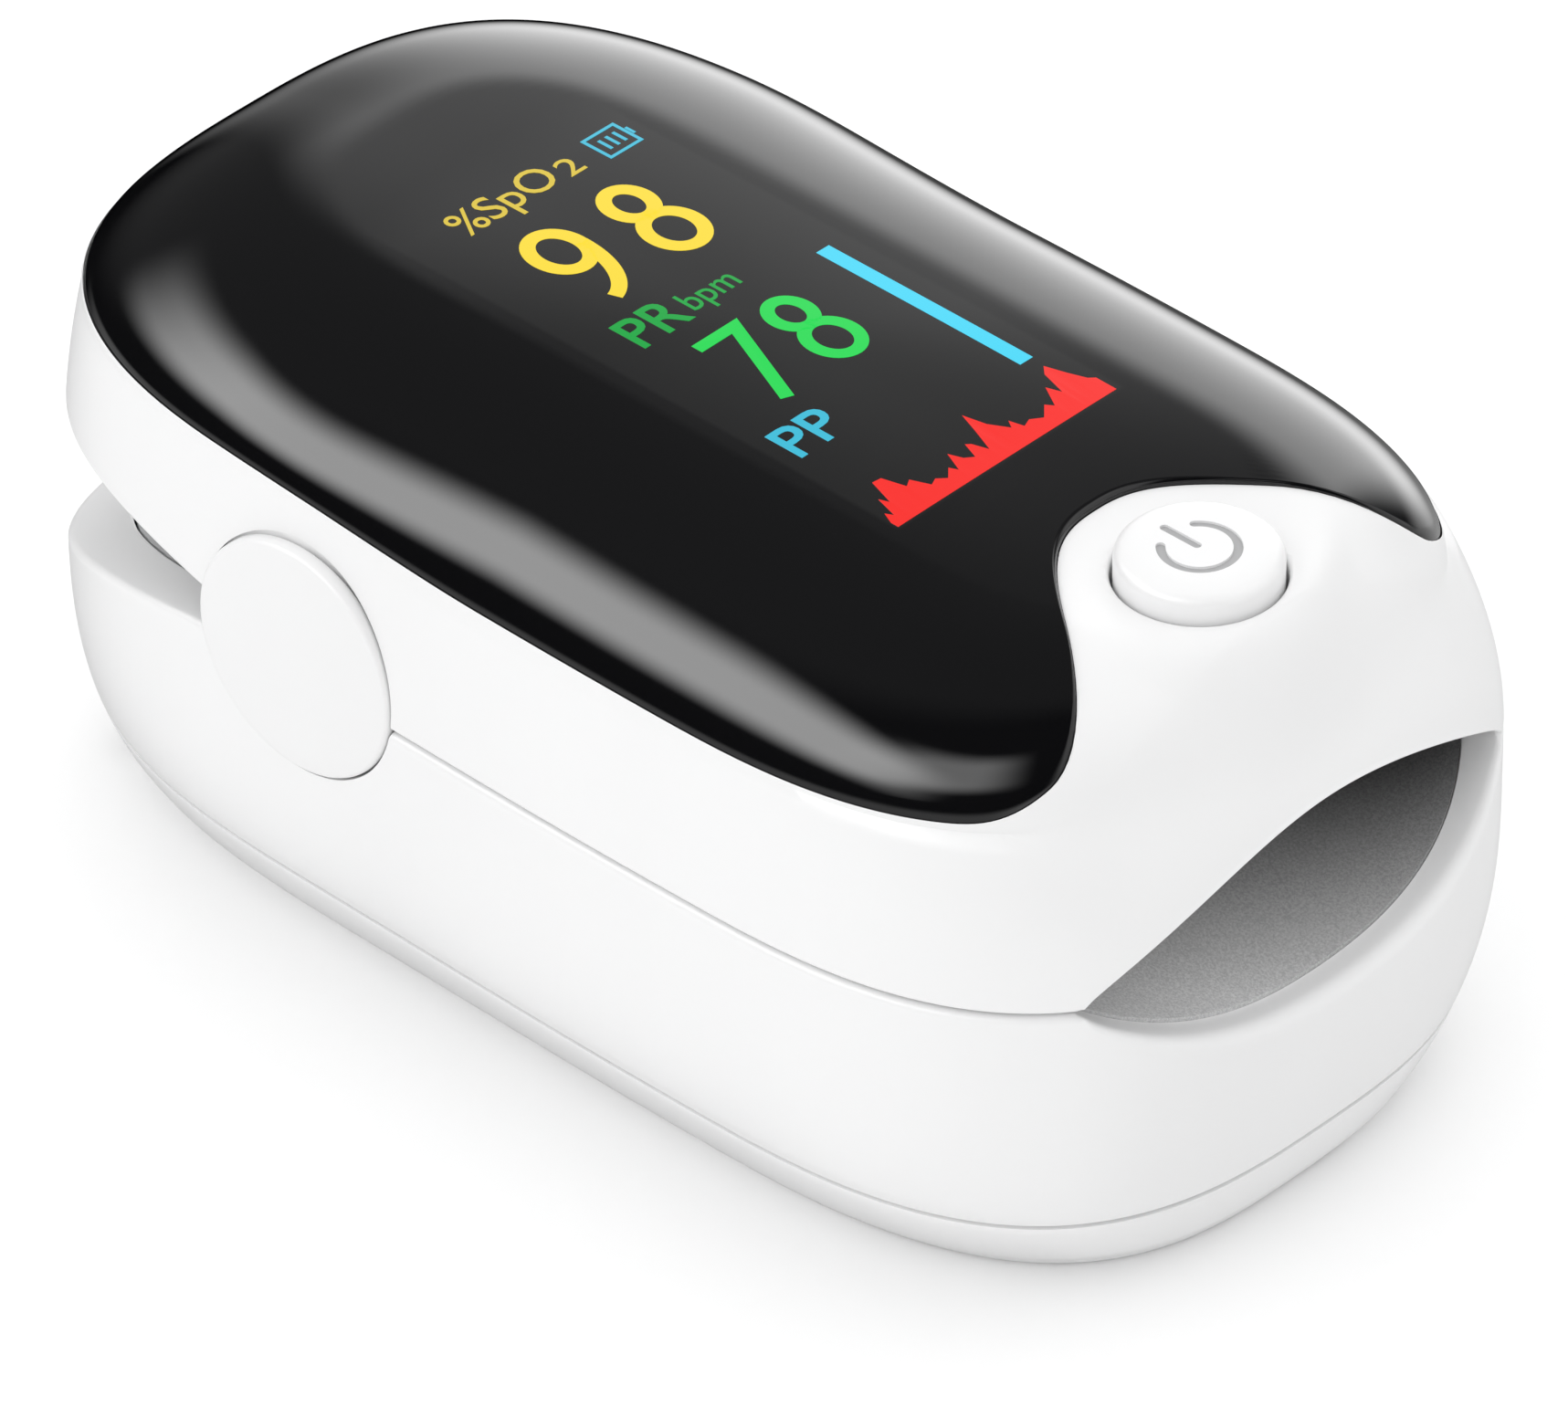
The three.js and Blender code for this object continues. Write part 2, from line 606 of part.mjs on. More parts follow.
// A dry cell along X, with its nub toward the front or the rear.
function battery(side, nubAhead) {
  const start = nubAhead ? bay.rear + bay.plate + bay.springLength : bay.rear + bay.plate + 0.1;
  const radius = cell.radius;
  const outline = [[0, 0], [4.6, 0], [radius, 0.4], [radius, 43.2], [4.7, 43.7], [cell.nubRadius, 43.7],
    [cell.nubRadius, cell.length], [0, cell.length]];
  const points = outline.map(([r, along]) => new THREE.Vector2(r, along));
  const geometry = new THREE.LatheGeometry(points, 36);
  if (nubAhead) {
    geometry.rotateZ(-Math.PI / 2);
    geometry.translate(start, side * cell.y, cell.z);
  } else {
    geometry.rotateZ(Math.PI / 2);
    geometry.translate(start + cell.length, side * cell.y, cell.z);
  }
  return solid(geometry);
}

// Flat contact plates at the two ends of the battery bay.
const contactTop = 10.6;
const contactBottom = 4.4;

function bridgeContact() {
  return slab(bay.rear, bay.rear + bay.plate, 9.4, contactBottom, contactTop);
}

function endContact(side) {
  const [y0, y1] = side > 0 ? [1.4, 9.6] : [-9.6, -1.4];
  return box([bay.front - bay.plate, y0, contactBottom], [bay.front, y1, 9.4]);
}

// A conical coil pressing on the flat end of a cell.
function contactSpring(side, fromRear) {
  const turns = 2.5;
  const wire = 0.22;
  const first = fromRear ? bay.rear + bay.plate + wire + 0.02 : bay.front - bay.plate - wire - 0.02;
  const reach = (bay.springLength - 2 * wire - 0.2) * (fromRear ? 1 : -1);
  const points = Array.from({ length: 25 }, (_, i) => {
    const share = i / 24;
    const angle = share * turns * 2 * Math.PI;
    const radius = 3.2 - 1.2 * share;
    return new THREE.Vector3(
      first + reach * share,
      side * cell.y + radius * Math.cos(angle),
      cell.z + radius * Math.sin(angle),
    );
  });
  return wireAlong(points, wire, 28);
}

function wireAlong(points, radius, steps) {
  const section = new THREE.Shape();
  section.absarc(0, 0, radius, 0, 2 * Math.PI, false);
  const path = new THREE.CatmullRomCurve3(points);
  const options = { steps, extrudePath: path, curveSegments: 3, bevelEnabled: false };
  return solid(new THREE.ExtrudeGeometry(section, options));
}

// --------------------------------------------------------------------- hinge

function hingeCap(side) {
  const inner = hinge.capFace - hinge.capDepth;
  const bevel = 0.25;
  const outline = [[0, inner], [hinge.capRadius, inner], [hinge.capRadius, hinge.capFace - bevel],
    [hinge.capRadius - bevel, hinge.capFace], [0, hinge.capFace]];
  const geometry = new THREE.LatheGeometry(outline.map((point) => new THREE.Vector2(...point)), 48);
  if (side < 0) {
    geometry.rotateX(Math.PI);
  }
  geometry.translate(hinge.x, 0, hinge.z);
  return solid(geometry);
}

function hingePin(side) {
  const [inner, outer] = [11.2, hinge.capFace - hinge.capDepth - 0.05];
  const [y0, y1] = side > 0 ? [inner, outer] : [-outer, -inner];
  return barY(hinge.pinRadius, hinge.x, y0, y1, hinge.z, 24);
}

// Torsion spring around the pin: one leg lies on the upper deck, one on the lower deck.
function hingeSpring(side) {
  const coilRadius = 1.75;
  const wire = 0.25;
  const turns = 3.5;
  const innerY = 11.75;
  const outerY = 13.75;
  const coil = Array.from({ length: 37 }, (_, i) => {
    const share = i / 36;
    const angle = -Math.PI / 2 + share * turns * 2 * Math.PI;
    return new THREE.Vector3(
      hinge.x + coilRadius * Math.cos(angle),
      side * (innerY + (outerY - innerY) * share),
      hinge.z + coilRadius * Math.sin(angle),
    );
  });
  const lowerLeg = new THREE.Vector3(hinge.x - 2.4, side * innerY, hinge.z - coilRadius);
  const upperLeg = new THREE.Vector3(hinge.x - 2.4, side * outerY, hinge.z + coilRadius);
  return wireAlong([lowerLeg, ...coil, upperLeg], wire, 54);
}

// ------------------------------------------------------------- sensor boards

const lowerSensorBoard = { bottom: 11.5, top: 11.8 };
const upperSensorBoard = { bottom: 21.75, top: 22.15 };

// Film cable from the lower sensor board, past the hinge, up to the main board.
function flexCable() {
  const thick = 0.2;
  const low = lowerSensorBoard.bottom + 0.05;
  const high = board.bottom - contactGap;
  const bend = 1.2;
  const rear = -11.2;
  const shape = new THREE.Shape();
  shape.moveTo(sensorX - 4.1, low);
  shape.lineTo(rear + bend, low);
  shape.absarc(rear + bend, low + bend, bend, -Math.PI / 2, -Math.PI, true);
  shape.lineTo(rear, high);
  shape.lineTo(rear + thick, high);
  shape.lineTo(rear + thick, low + bend);
  shape.absarc(rear + bend, low + bend, bend - thick, -Math.PI, -Math.PI / 2, false);
  shape.lineTo(sensorX - 4.1, low + thick);
  shape.closePath();
  return sidePrism(shape, -1.5, 1.5, 6);
}

function centredBlock(x, halfLength, halfWidth, z0, z1) {
  return slab(x - halfLength, x + halfLength, halfWidth, z0, z1);
}

// ------------------------------------------------------------------ assembly

place('upper_case', upperCase(), look.whiteCase);
place('display_window', displayWindow(), look.blackWindow);
place('display_panel', displayPanel(), look.displayGlass);
place('display_foam', displayFoam(), look.foam);
place('display_ribbon', displayRibbon(), look.ribbon);
place('main_board', mainBoard(), look.board);
place('processor_chip', chip(-4, -7.5, 7, 7, 0.9), look.chip);
place('analog_chip', chip(8, 8.6, 5, 4, 0.5), look.chip);
place('buzzer', buzzer(), look.chip);
place('button_switch', buttonSwitch(), look.steel);
place('upper_inner_frame', upperInnerFrame(), look.greyFrame);
place('upper_pad', pad(upperSide), look.greySilicone);
place('led_window', sensorWindow(upperSide), look.clearWindow);
place('led_emitter', centredBlock(sensorX, 1.6, 1.3, 20.6, upperSensorBoard.bottom - 0.05), look.emitter);
place('led_board', centredBlock(sensorX, 4.2, 4, upperSensorBoard.bottom, upperSensorBoard.top), look.board);
place('power_button', powerButton(), look.whiteButton);

place('lower_case', lowerCase(), look.whiteCase);
place('base_shell', baseShell(), look.whiteCase);
place('lower_inner_frame', lowerInnerFrame(), look.greyFrame);
place('lower_pad', pad(lowerSide), look.greySilicone);
place('sensor_window', sensorWindow(lowerSide), look.clearWindow);
place('photodiode', centredBlock(sensorX, 1.4, 1.4, lowerSensorBoard.top + 0.05, 12.5), look.chip);
place('sensor_board', centredBlock(sensorX, 4, 2.1, lowerSensorBoard.bottom, lowerSensorBoard.top), look.board);
place('flex_cable', flexCable(), look.ribbon);
place('battery_door', batteryDoor(), look.whiteCase);

place('battery_left', battery(1, true), look.cellJacket);
place('battery_right', battery(-1, false), look.cellJacket);
place('bridge_contact', bridgeContact(), look.steel);
place('end_contact_left', endContact(1), look.steel);
place('end_contact_right', endContact(-1), look.steel);
place('contact_spring_left', contactSpring(1, true), look.springWire);
place('contact_spring_right', contactSpring(-1, false), look.springWire);

for (const [label, side] of [['left', 1], ['right', -1]]) {
  place(`hinge_cap_${label}`, hingeCap(side), look.whiteCase);
  place(`hinge_pin_${label}`, hingePin(side), look.steel);
  place(`hinge_spring_${label}`, hingeSpring(side), look.springWire);
  place(`base_screw_${label}`, screw(baseBoss.x, side * baseBoss.y, 0.15, 6.5), look.steel);
  place(`upper_screw_${label}`, screw(upperBoss.x, side * upperBoss.y, 18, 21.6), look.steel);
}

export default oximeter;
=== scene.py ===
"""Looks of the fingertip pulse oximeter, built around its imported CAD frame.

Shapes are worked out in millimetres and turned into metres when a mesh is made.
+X points out of the finger opening, +Z is up.
"""
import json
import math

import bmesh
import bpy
import numpy as np
from mathutils import Matrix, Vector


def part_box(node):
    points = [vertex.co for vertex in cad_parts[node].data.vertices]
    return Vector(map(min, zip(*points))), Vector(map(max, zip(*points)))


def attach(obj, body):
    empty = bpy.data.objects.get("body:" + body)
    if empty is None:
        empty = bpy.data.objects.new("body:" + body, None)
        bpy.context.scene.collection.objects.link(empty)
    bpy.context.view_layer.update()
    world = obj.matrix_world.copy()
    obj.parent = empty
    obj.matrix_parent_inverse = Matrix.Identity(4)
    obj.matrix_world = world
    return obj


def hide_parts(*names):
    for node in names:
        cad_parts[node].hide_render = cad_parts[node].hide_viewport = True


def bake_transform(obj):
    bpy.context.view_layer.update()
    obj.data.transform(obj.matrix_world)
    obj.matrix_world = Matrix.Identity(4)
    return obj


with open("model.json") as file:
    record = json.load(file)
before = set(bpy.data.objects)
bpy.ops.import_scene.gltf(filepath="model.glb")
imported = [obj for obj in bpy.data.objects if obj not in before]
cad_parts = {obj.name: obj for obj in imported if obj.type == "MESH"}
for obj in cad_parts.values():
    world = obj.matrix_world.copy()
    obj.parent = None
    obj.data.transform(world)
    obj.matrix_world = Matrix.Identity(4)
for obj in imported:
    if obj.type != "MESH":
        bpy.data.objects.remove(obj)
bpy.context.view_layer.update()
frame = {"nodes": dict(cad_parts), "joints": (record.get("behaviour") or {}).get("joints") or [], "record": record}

MM = 0.001
nodes = frame["nodes"]


def low(node):
    """Lowest corner of a CAD node, in millimetres."""
    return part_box(node)[0] / MM


def high(node):
    """Highest corner of a CAD node, in millimetres."""
    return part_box(node)[1] / MM


def centre(node):
    """Middle of a CAD node's box, in millimetres."""
    return (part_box(node)[0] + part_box(node)[1]) / 2 / MM


def joint_named(name):
    return next(joint for joint in frame["joints"] if joint["name"] == name)


# ---- sizes, from the frame

TOP = high("display_window").z
HALF_WIDTH = high("lower_case").y
HALF_LENGTH = high("lower_case").x
PARTING = (high("lower_case").z + low("upper_case").z) / 2
BASE_SEAM = (high("base_shell").z + low("lower_case").z) / 2
WINDOW_SEAM = low("display_window").z - 0.15

OUTLINE_POWER = 2.86
FRONT_CAP, REAR_CAP = 19.3, 21.8
WIDEST = 13.0
FOOT_DRAW, FOOT_POWER = (2.6, 0.9, 3.6), 2.8
SHOULDER_DRAW = (2.64, 0.5, 1.02)
CROWN_IN_FRONT, CROWN_IN_REAR, CROWN_IN_SIDE = 4.6, 9.7, 9.7
CROWN_POWER, CROWN_POWER_FRONT = 1.54, 1.15
DOME = 0.5
SWELL, SWELL_MIDDLE, SWELL_SPREAD = 0.017, 6.0, 14.0
SEAM_DIP, SEAM_LIFT, SEAM_RUN = 0.45, 0.75, 16.0
WALL = 1.6
HALF_SEAM = 0.09
BASE_ROUNDING = 0.35

HINGE = Vector(joint_named("jaw_hinge")["pos_m"]) / MM
CAP_RADIUS = (high("hinge_cap_left").x - low("hinge_cap_left").x) / 2
PIN_RADIUS = (high("hinge_pin_left").z - low("hinge_pin_left").z) / 2
KEY = centre("power_button")
KEY_RADIUS = (high("power_button").x - low("power_button").x) / 2
KEY_TOP = high("power_button").z

WINDOW_INSET, CORNER_BLEND = 0.12, 4.5
WINDOW_THICKNESS = 1.3
SEAT_LEVEL, SEAT_FADE = 28.36, 3.0
BAY_SINK = 0.2
BAY_EDGE_X, BAY_REACH, BAY_HALF_WIDTH, BAY_POWER = 17.95, 8.7, 11.7, 1.25

MOUTH_HALF_WIDTH, MOUTH_POWER, MOUTH_EASE = 12.6, 2.05, 0.8
MOUTH_RISE, MOUTH_DIP, MOUTH_FROM = 4.75, 4.0, 10
REAR_RIM = ((-10.5, 15.8), (-16, 15.5), (-19.4, 14.8), (-23, 13.8), (-26.5, 12.4), (-33, 9.2))
REAR_LIFT = ((-9.5, 15.8), (-12.5, 16.7), (-16, 17.4), (-20, 18.0), (-33, 18.3))


# ---- the outer form

class Outline:
    """Evenly spaced stations round the plan: a share of the front cap, a cosine and a sine."""

    def __init__(self, count):
        fine, between = 3000, 398
        turn = np.linspace(0, np.pi / 2, fine)
        cosine = np.cos(turn) ** (2 / OUTLINE_POWER)
        sine = np.sin(turn) ** (2 / OUTLINE_POWER)
        straight = np.linspace(1, 0, between + 2)[1:-1]
        ahead = np.concatenate([np.ones(fine), straight, np.zeros(fine)])
        c = np.concatenate([cosine, np.zeros(between), cosine[::-1]])
        s = np.concatenate([sine, np.ones(between), sine[::-1]])
        x, y = plan_of(ahead, c, s, plan_size(WIDEST))
        along = np.concatenate([[0], np.cumsum(np.hypot(np.diff(x), np.diff(y)))])
        steps = np.linspace(0, along[-1], count // 2 + 1)
        ahead, c, s = [np.interp(steps, along, values) for values in (ahead, c, s)]
        self.ahead, self.c, self.s = [
            np.concatenate([half, sign * half[-2:0:-1]]) for half, sign in ((ahead, 1), (c, 1), (s, -1))
        ]
        self.count = len(self.c)

    def at(self, z, inset=0.0):
        """Plan points of the body at a height, moved in by an inset."""
        return plan_of(self.ahead, self.c, self.s, plan_size(z), inset)


def plan_size(z):
    """Front, rear and side half sizes of the body at a height."""
    z = np.asarray(z, float)
    foot = np.clip((WIDEST - z) / WIDEST, 0, 1) ** FOOT_POWER
    rise = np.clip((z - PARTING) / (WINDOW_SEAM - PARTING), 0, 1) ** 2
    return [
        half - foot_draw * foot - shoulder_draw * rise
        for half, foot_draw, shoulder_draw in zip(
            (HALF_LENGTH, HALF_LENGTH, HALF_WIDTH), FOOT_DRAW, SHOULDER_DRAW
        )
    ]


def swell(x):
    """How much wider than the plain outline the sides are, as a factor along the length."""
    return 1 + SWELL * np.exp(-(((x - SWELL_MIDDLE) / SWELL_SPREAD) ** 2))


def plan_of(ahead, c, s, size, inset=0.0):
    front, rear, side = [half - inset for half in size]
    x_front = front + (FRONT_CAP - inset) * (c - 1)
    x_rear = rear + (REAR_CAP - inset) * (c - 1)
    x = ahead * x_front - (1 - ahead) * x_rear
    return x, side * s * swell(x)


def smooth_step(value):
    share = np.clip(value, 0, 1)
    return share * share * (3 - 2 * share)


def seam_level(x):
    """Height of the window's lower edge, which dips along the sides and lifts at the rear."""
    return WINDOW_SEAM - SEAM_DIP + SEAM_LIFT * smooth_step(-x / SEAM_RUN)


def outline_terms(x, y, reach, cap, side):
    """Share of the end cap that a point is along, and a sum that is 1 on the outline."""
    along = np.clip((np.abs(x) - reach + cap) / cap, 0, None)
    across = np.abs(y) / (side * swell(x))
    return along, along**OUTLINE_POWER + across**OUTLINE_POWER


def last_inside(inside, most):
    """The largest values from 0 to most that are still inside, one for each point."""
    least, halvings = np.zeros_like(most), 36
    for _ in range(halvings):
        middle = (least + most) / 2
        keep = inside(middle)
        least, most = np.where(keep, middle, least), np.where(keep, most, middle)
    return least


def crown_share(x, y):
    """How far a plan point is up the crown, from 0 at the seam to 1 on the flat, and how far in front."""
    front, rear, side = plan_size(WINDOW_SEAM)
    ahead = x >= 0

    def terms(k):
        cap = np.where(ahead, FRONT_CAP, REAR_CAP) - CROWN_IN_SIDE * k
        reach = np.where(ahead, front - CROWN_IN_FRONT * k, rear - CROWN_IN_REAR * k)
        return outline_terms(x, y, reach, cap, side - CROWN_IN_SIDE * k)

    share = last_inside(lambda k: terms(k)[1] <= 1, np.ones_like(x))
    return share, np.where(ahead, np.clip(terms(share)[0], 0, 1), 0) ** 2


def seam_radius(x, y):
    """Distance from the middle to the window seam, through a plan point."""
    front, rear, side = plan_size(WINDOW_SEAM)
    angle = np.arctan2(y, x)
    ux, uy = np.cos(angle), np.sin(angle)
    reach, cap = np.where(ux >= 0, front, rear), np.where(ux >= 0, FRONT_CAP, REAR_CAP)
    return last_inside(
        lambda r: outline_terms(ux * r, uy * r, reach, cap, side)[1] <= 1,
        np.full_like(angle, HALF_LENGTH + 2),
    )


def crown_height(x, y, sink=0.0):
    """Height of the top surface over a plan point."""
    x, y = np.asarray(x, float), np.asarray(y, float)
    k, frontness = crown_share(x, y)
    turn = np.arccos(1 - np.clip(k, 0, 1))
    power = CROWN_POWER + (CROWN_POWER_FRONT - CROWN_POWER) * frontness
    out = np.clip(np.hypot(x, y) / seam_radius(x, y), 0, 1)
    seam = seam_level(x)
    rise = (TOP - seam - DOME - sink) * np.sin(turn) ** power
    return seam + rise + DOME * (1 - out ** 2)


def case_height(x, y, sink):
    """Height of the white case's top, levelled round the power key."""
    away = np.hypot(np.asarray(x, float) - KEY.x, y)
    level = 1 - smooth_step((away - KEY_RADIUS - 0.5) / SEAT_FADE)
    height = crown_height(x, y, sink)
    return height + (SEAT_LEVEL - height) * level


def bay_edge_x(y):
    share = np.minimum(1, np.abs(y) / BAY_HALF_WIDTH)
    return BAY_EDGE_X + BAY_REACH * ((1 - np.cos(np.pi * share)) / 2) ** BAY_POWER


def smooth_least(a, b, width):
    """The lesser of two lengths, with a change-over that starts very gently."""
    near = np.clip(1 - np.abs(a - b) / width, 0, 1)
    return np.minimum(a, b) - width * near**4 / 8


def window_edge(outline, outset):
    """Plan points of the window's edge on the rays through the stations of the seam."""
    sx, sy = outline.at(WINDOW_SEAM)
    full = np.hypot(sx, sy)
    ux, uy = sx / full, sy / full
    least = last_inside(lambda r: ux * r <= bay_edge_x(uy * r), full * 1.5)
    r = smooth_least(full - WINDOW_INSET, least, CORNER_BLEND) + outset
    return ux * r, uy * r


def mouth_height(y, height):
    return PARTING + height * mouth_share(np.abs(y) / MOUTH_HALF_WIDTH)


def mouth_share(across):
    """The mouth's height as a share, from 1 in the middle to 0 at its corners."""
    return (1 - np.clip(across, 0, 1) ** MOUTH_POWER) ** MOUTH_EASE


def through(points, x):
    """A smooth line through given points, by monotone cubic steps."""
    px, pz = np.array(points)[::-1].T
    slope = np.gradient(pz, px)
    i = np.clip(np.searchsorted(px, x) - 1, 0, len(px) - 2)
    span = px[i + 1] - px[i]
    t = np.clip((x - px[i]) / span, 0, 1)
    h00, h10 = 2 * t**3 - 3 * t**2 + 1, t**3 - 2 * t**2 + t
    h01, h11 = -2 * t**3 + 3 * t**2, t**3 - t**2
    return h00 * pz[i] + h10 * span * slope[i] + h01 * pz[i + 1] + h11 * span * slope[i + 1]


def jaw_edge(x, y, mouth, rear_points):
    """Height of a jaw's edge over a plan point: the mouth in front, straight, then the rear opening."""
    rear = np.where(x < rear_points[0][0], through(rear_points, x), PARTING)
    return np.where(x > MOUTH_FROM, mouth_height(y, mouth), rear)


def lower_rim(x, y):
    return jaw_edge(x, y, -MOUTH_DIP, REAR_RIM) - HALF_SEAM


def upper_rim(x, y):
    return jaw_edge(x, y, MOUTH_RISE, REAR_LIFT) + HALF_SEAM


# ---- mesh helpers

def piece(name, points, faces, smooth_angle=35):
    """A mesh object from points in millimetres, outward faces, smooth below an angle."""
    mesh = bpy.data.meshes.new(name)
    mesh.from_pydata((np.asarray(points, float) * MM).tolist(), [], faces)
    tidy = bmesh.new()
    tidy.from_mesh(mesh)
    bmesh.ops.remove_doubles(tidy, verts=tidy.verts, dist=1e-7)
    bmesh.ops.recalc_face_normals(tidy, faces=tidy.faces)
    tidy.to_mesh(mesh)
    tidy.free()
    mesh.shade_smooth()
    mesh.set_sharp_from_angle(angle=math.radians(smooth_angle))
    return shown(name, mesh)


def shown(name, data):
    """A new object in the scene that holds a mesh, lamp or camera."""
    made = bpy.data.objects.new(name, data)
    bpy.context.scene.collection.objects.link(made)
    return made


def slide(made, x, y=0.0, z=0.0):
    """Moves a mesh by millimetres."""
    made.data.transform(Matrix.Translation(Vector((x, y, z)) * MM))


def grid_faces(rows, columns, wrap_rows=False):
    """Quads between rows of points that run round and close on themselves."""
    faces = []
    for r in range(rows if wrap_rows else rows - 1):
        here, there = r * columns, (r + 1) % rows * columns
        for c in range(columns):
            d = (c + 1) % columns
            faces.append((here + c, here + d, there + d, there + c))
    return faces


def row(x, y, z):
    shape = np.broadcast(x, y, z).shape
    return np.stack([np.broadcast_to(v, shape) for v in (x, y, z)], axis=-1)


def ring_solid(name, rows):
    """A closed ring whose cross-section at each station is a closed loop of rows."""
    rows = np.array(rows)
    return piece(name, rows.reshape(-1, 3), grid_faces(*rows.shape[:2], wrap_rows=True))


def capped_solid(name, rows, smooth_angle=35):
    """A closed solid from rows, with its first and last row closed to a middle point."""
    rows = np.array(rows)
    count = rows.shape[1]
    points = rows.reshape(-1, 3)
    ends = [rows[0].mean(axis=0), rows[-1].mean(axis=0)]
    faces = grid_faces(rows.shape[0], count)
    first, last = len(points), len(points) + 1
    start = (rows.shape[0] - 1) * count
    for c in range(count):
        d = (c + 1) % count
        faces.append((first, d, c))
        faces.append((last, start + c, start + d))
    return piece(name, np.vstack([points, ends]), faces, smooth_angle)


def turned(name, outline, count=96, smooth_angle=35):
    """A body turned round the Z axis from a list of (radius, height) that starts and ends on it."""
    angle = np.linspace(0, 2 * np.pi, count, endpoint=False)
    rows = [row(r * np.cos(angle), r * np.sin(angle), z) for r, z in outline if r > 0]
    return capped_solid(name, rows, smooth_angle)


def ellipse_path(x, y, rx, ry, start=0, end=360, steps=48):
    """Points round an ellipse, from one angle to another in degrees."""
    turn = np.radians(np.linspace(start, end, steps))
    return list(zip(x + rx * np.cos(turn), y + ry * np.sin(turn)))


def arc(x, y, radius, start, end, steps):
    return ellipse_path(x, y, radius, radius, start, end, steps)


def cut(target, *tools):
    """Takes solid tools out of a target mesh and removes the tools."""
    for tool in tools:
        change = target.modifiers.new("cut", "BOOLEAN")
        change.operation = "DIFFERENCE"
        change.solver = "EXACT"
        change.object = tool
        depsgraph = bpy.context.evaluated_depsgraph_get()
        result = bpy.data.meshes.new_from_object(target.evaluated_get(depsgraph))
        target.modifiers.clear()
        old = target.data
        target.data = result
        bpy.data.meshes.remove(old)
        bpy.data.objects.remove(tool)
    target.data.shade_smooth()
    target.data.set_sharp_from_angle(angle=math.radians(35))


def lay_on_side(made, x, side, z):
    """Turns a body made along Z so that it points out of one side of the case."""
    made.data.transform(Matrix.Rotation(math.radians(-90 if side > 0 else 90), 4, "X"))
    slide(made, x, 0, z)


def rounding(radius, steps=5):
    """Insets and drops of a quarter round, from the wall to the flat."""
    turns = np.linspace(0, np.pi / 2, steps)
    return [(radius * (1 - math.cos(t)), radius * (1 - math.sin(t))) for t in turns]


# ---- materials

class NodeCalls:
    """Short calls for adding nodes to a node tree."""

    def __init__(self, tree):
        self.tree = tree

    def feed(self, socket, value):
        if isinstance(value, bpy.types.NodeSocket):
            self.tree.links.new(value, socket)
        else:
            socket.default_value = value

    def fill(self, node, **inputs):
        """Feeds a node's inputs by name, with underscores for spaces."""
        for name, value in inputs.items():
            self.feed(node.inputs[name.replace("_", " ")], value)
        return node

    def node(self, kind, **inputs):
        return self.fill(self.tree.nodes.new("ShaderNode" + kind), **inputs)

    def math(self, operation, a, b=0.0):
        made = self.node("Math")
        made.operation = operation
        self.feed(made.inputs[0], a)
        self.feed(made.inputs[1], b)
        return made.outputs[0]

    def span(self, value, low_in, high_in, low_out=0, high_out=1, curve="LINEAR"):
        """A value carried from one range to another."""
        ends = {"From_Min": low_in, "From_Max": high_in, "To_Min": low_out, "To_Max": high_out}
        made = self.node("MapRange", Value=value, **ends)
        made.interpolation_type = curve
        return made.outputs["Result"]


class Look(NodeCalls):
    """A material: plain values on its shader's own sockets, and procedural detail over them."""

    def __init__(self, name, color, roughness, **sockets):
        self.material = bpy.data.materials.new(name)
        self.material.use_nodes = True
        super().__init__(self.material.node_tree)
        self.shader = self.tree.nodes["Principled BSDF"]
        self.set(Base_Color=(*color, 1), Roughness=roughness, **sockets)
        self.place = self.node("TexCoord").outputs["Object"]
        self.x, self.y, _ = self.node("SeparateXYZ", Vector=self.place).outputs

    def set(self, **sockets):
        self.fill(self.shader, **sockets)

    def noise(self, scale, detail=3.0, roughness=0.5, stretch=(1, 1, 1)):
        mapped = self.node("Mapping", Vector=self.place, Scale=stretch).outputs[0]
        made = self.node("TexNoise", Vector=mapped, Scale=scale, Detail=detail, Roughness=roughness)
        return made.outputs["Fac"]

    def cells(self, scale):
        return self.node("TexVoronoi", Vector=self.place, Scale=scale)

    def stripes(self, along, pitch):
        """A wave along one coordinate that repeats every so many millimetres."""
        return self.math("SINE", self.math("MULTIPLY", along, 2 * math.pi / (pitch * MM)))

    def mix(self, share, a, b):
        """A colour between two others, each (red, green, blue) or a socket."""
        made = self.node("Mix")
        made.data_type = "RGBA"
        for index, value in ((0, share), (6, a), (7, b)):
            self.feed(made.inputs[index], (*value, 1) if isinstance(value, tuple) else value)
        return made.outputs[2]

    def bump(self, height, distance, strength=1.0):
        self.set(Normal=self.node("Bump", Height=height, Distance=distance, Strength=strength).outputs[0])


def shade(color, share):
    return tuple(channel * share for channel in color)


def grey(value):
    return (value, value, value)


def moulded_plastic(name, color, roughness, grain=0.000004):
    """Injection-moulded plastic: a fine grain, faint flow tone and uneven gloss."""
    look = Look(name, color, roughness)
    flow = look.noise(60, 2, 0.5, (1, 1, 0.4))
    fine = look.noise(5200, 3, 0.6)
    look.set(
        Base_Color=look.mix(look.span(flow, 0.35, 0.65), shade(color, 0.975), color),
        Roughness=look.span(fine, 0.3, 0.7, roughness - 0.03, roughness + 0.04),
    )
    look.bump(fine, grain)
    return look.material


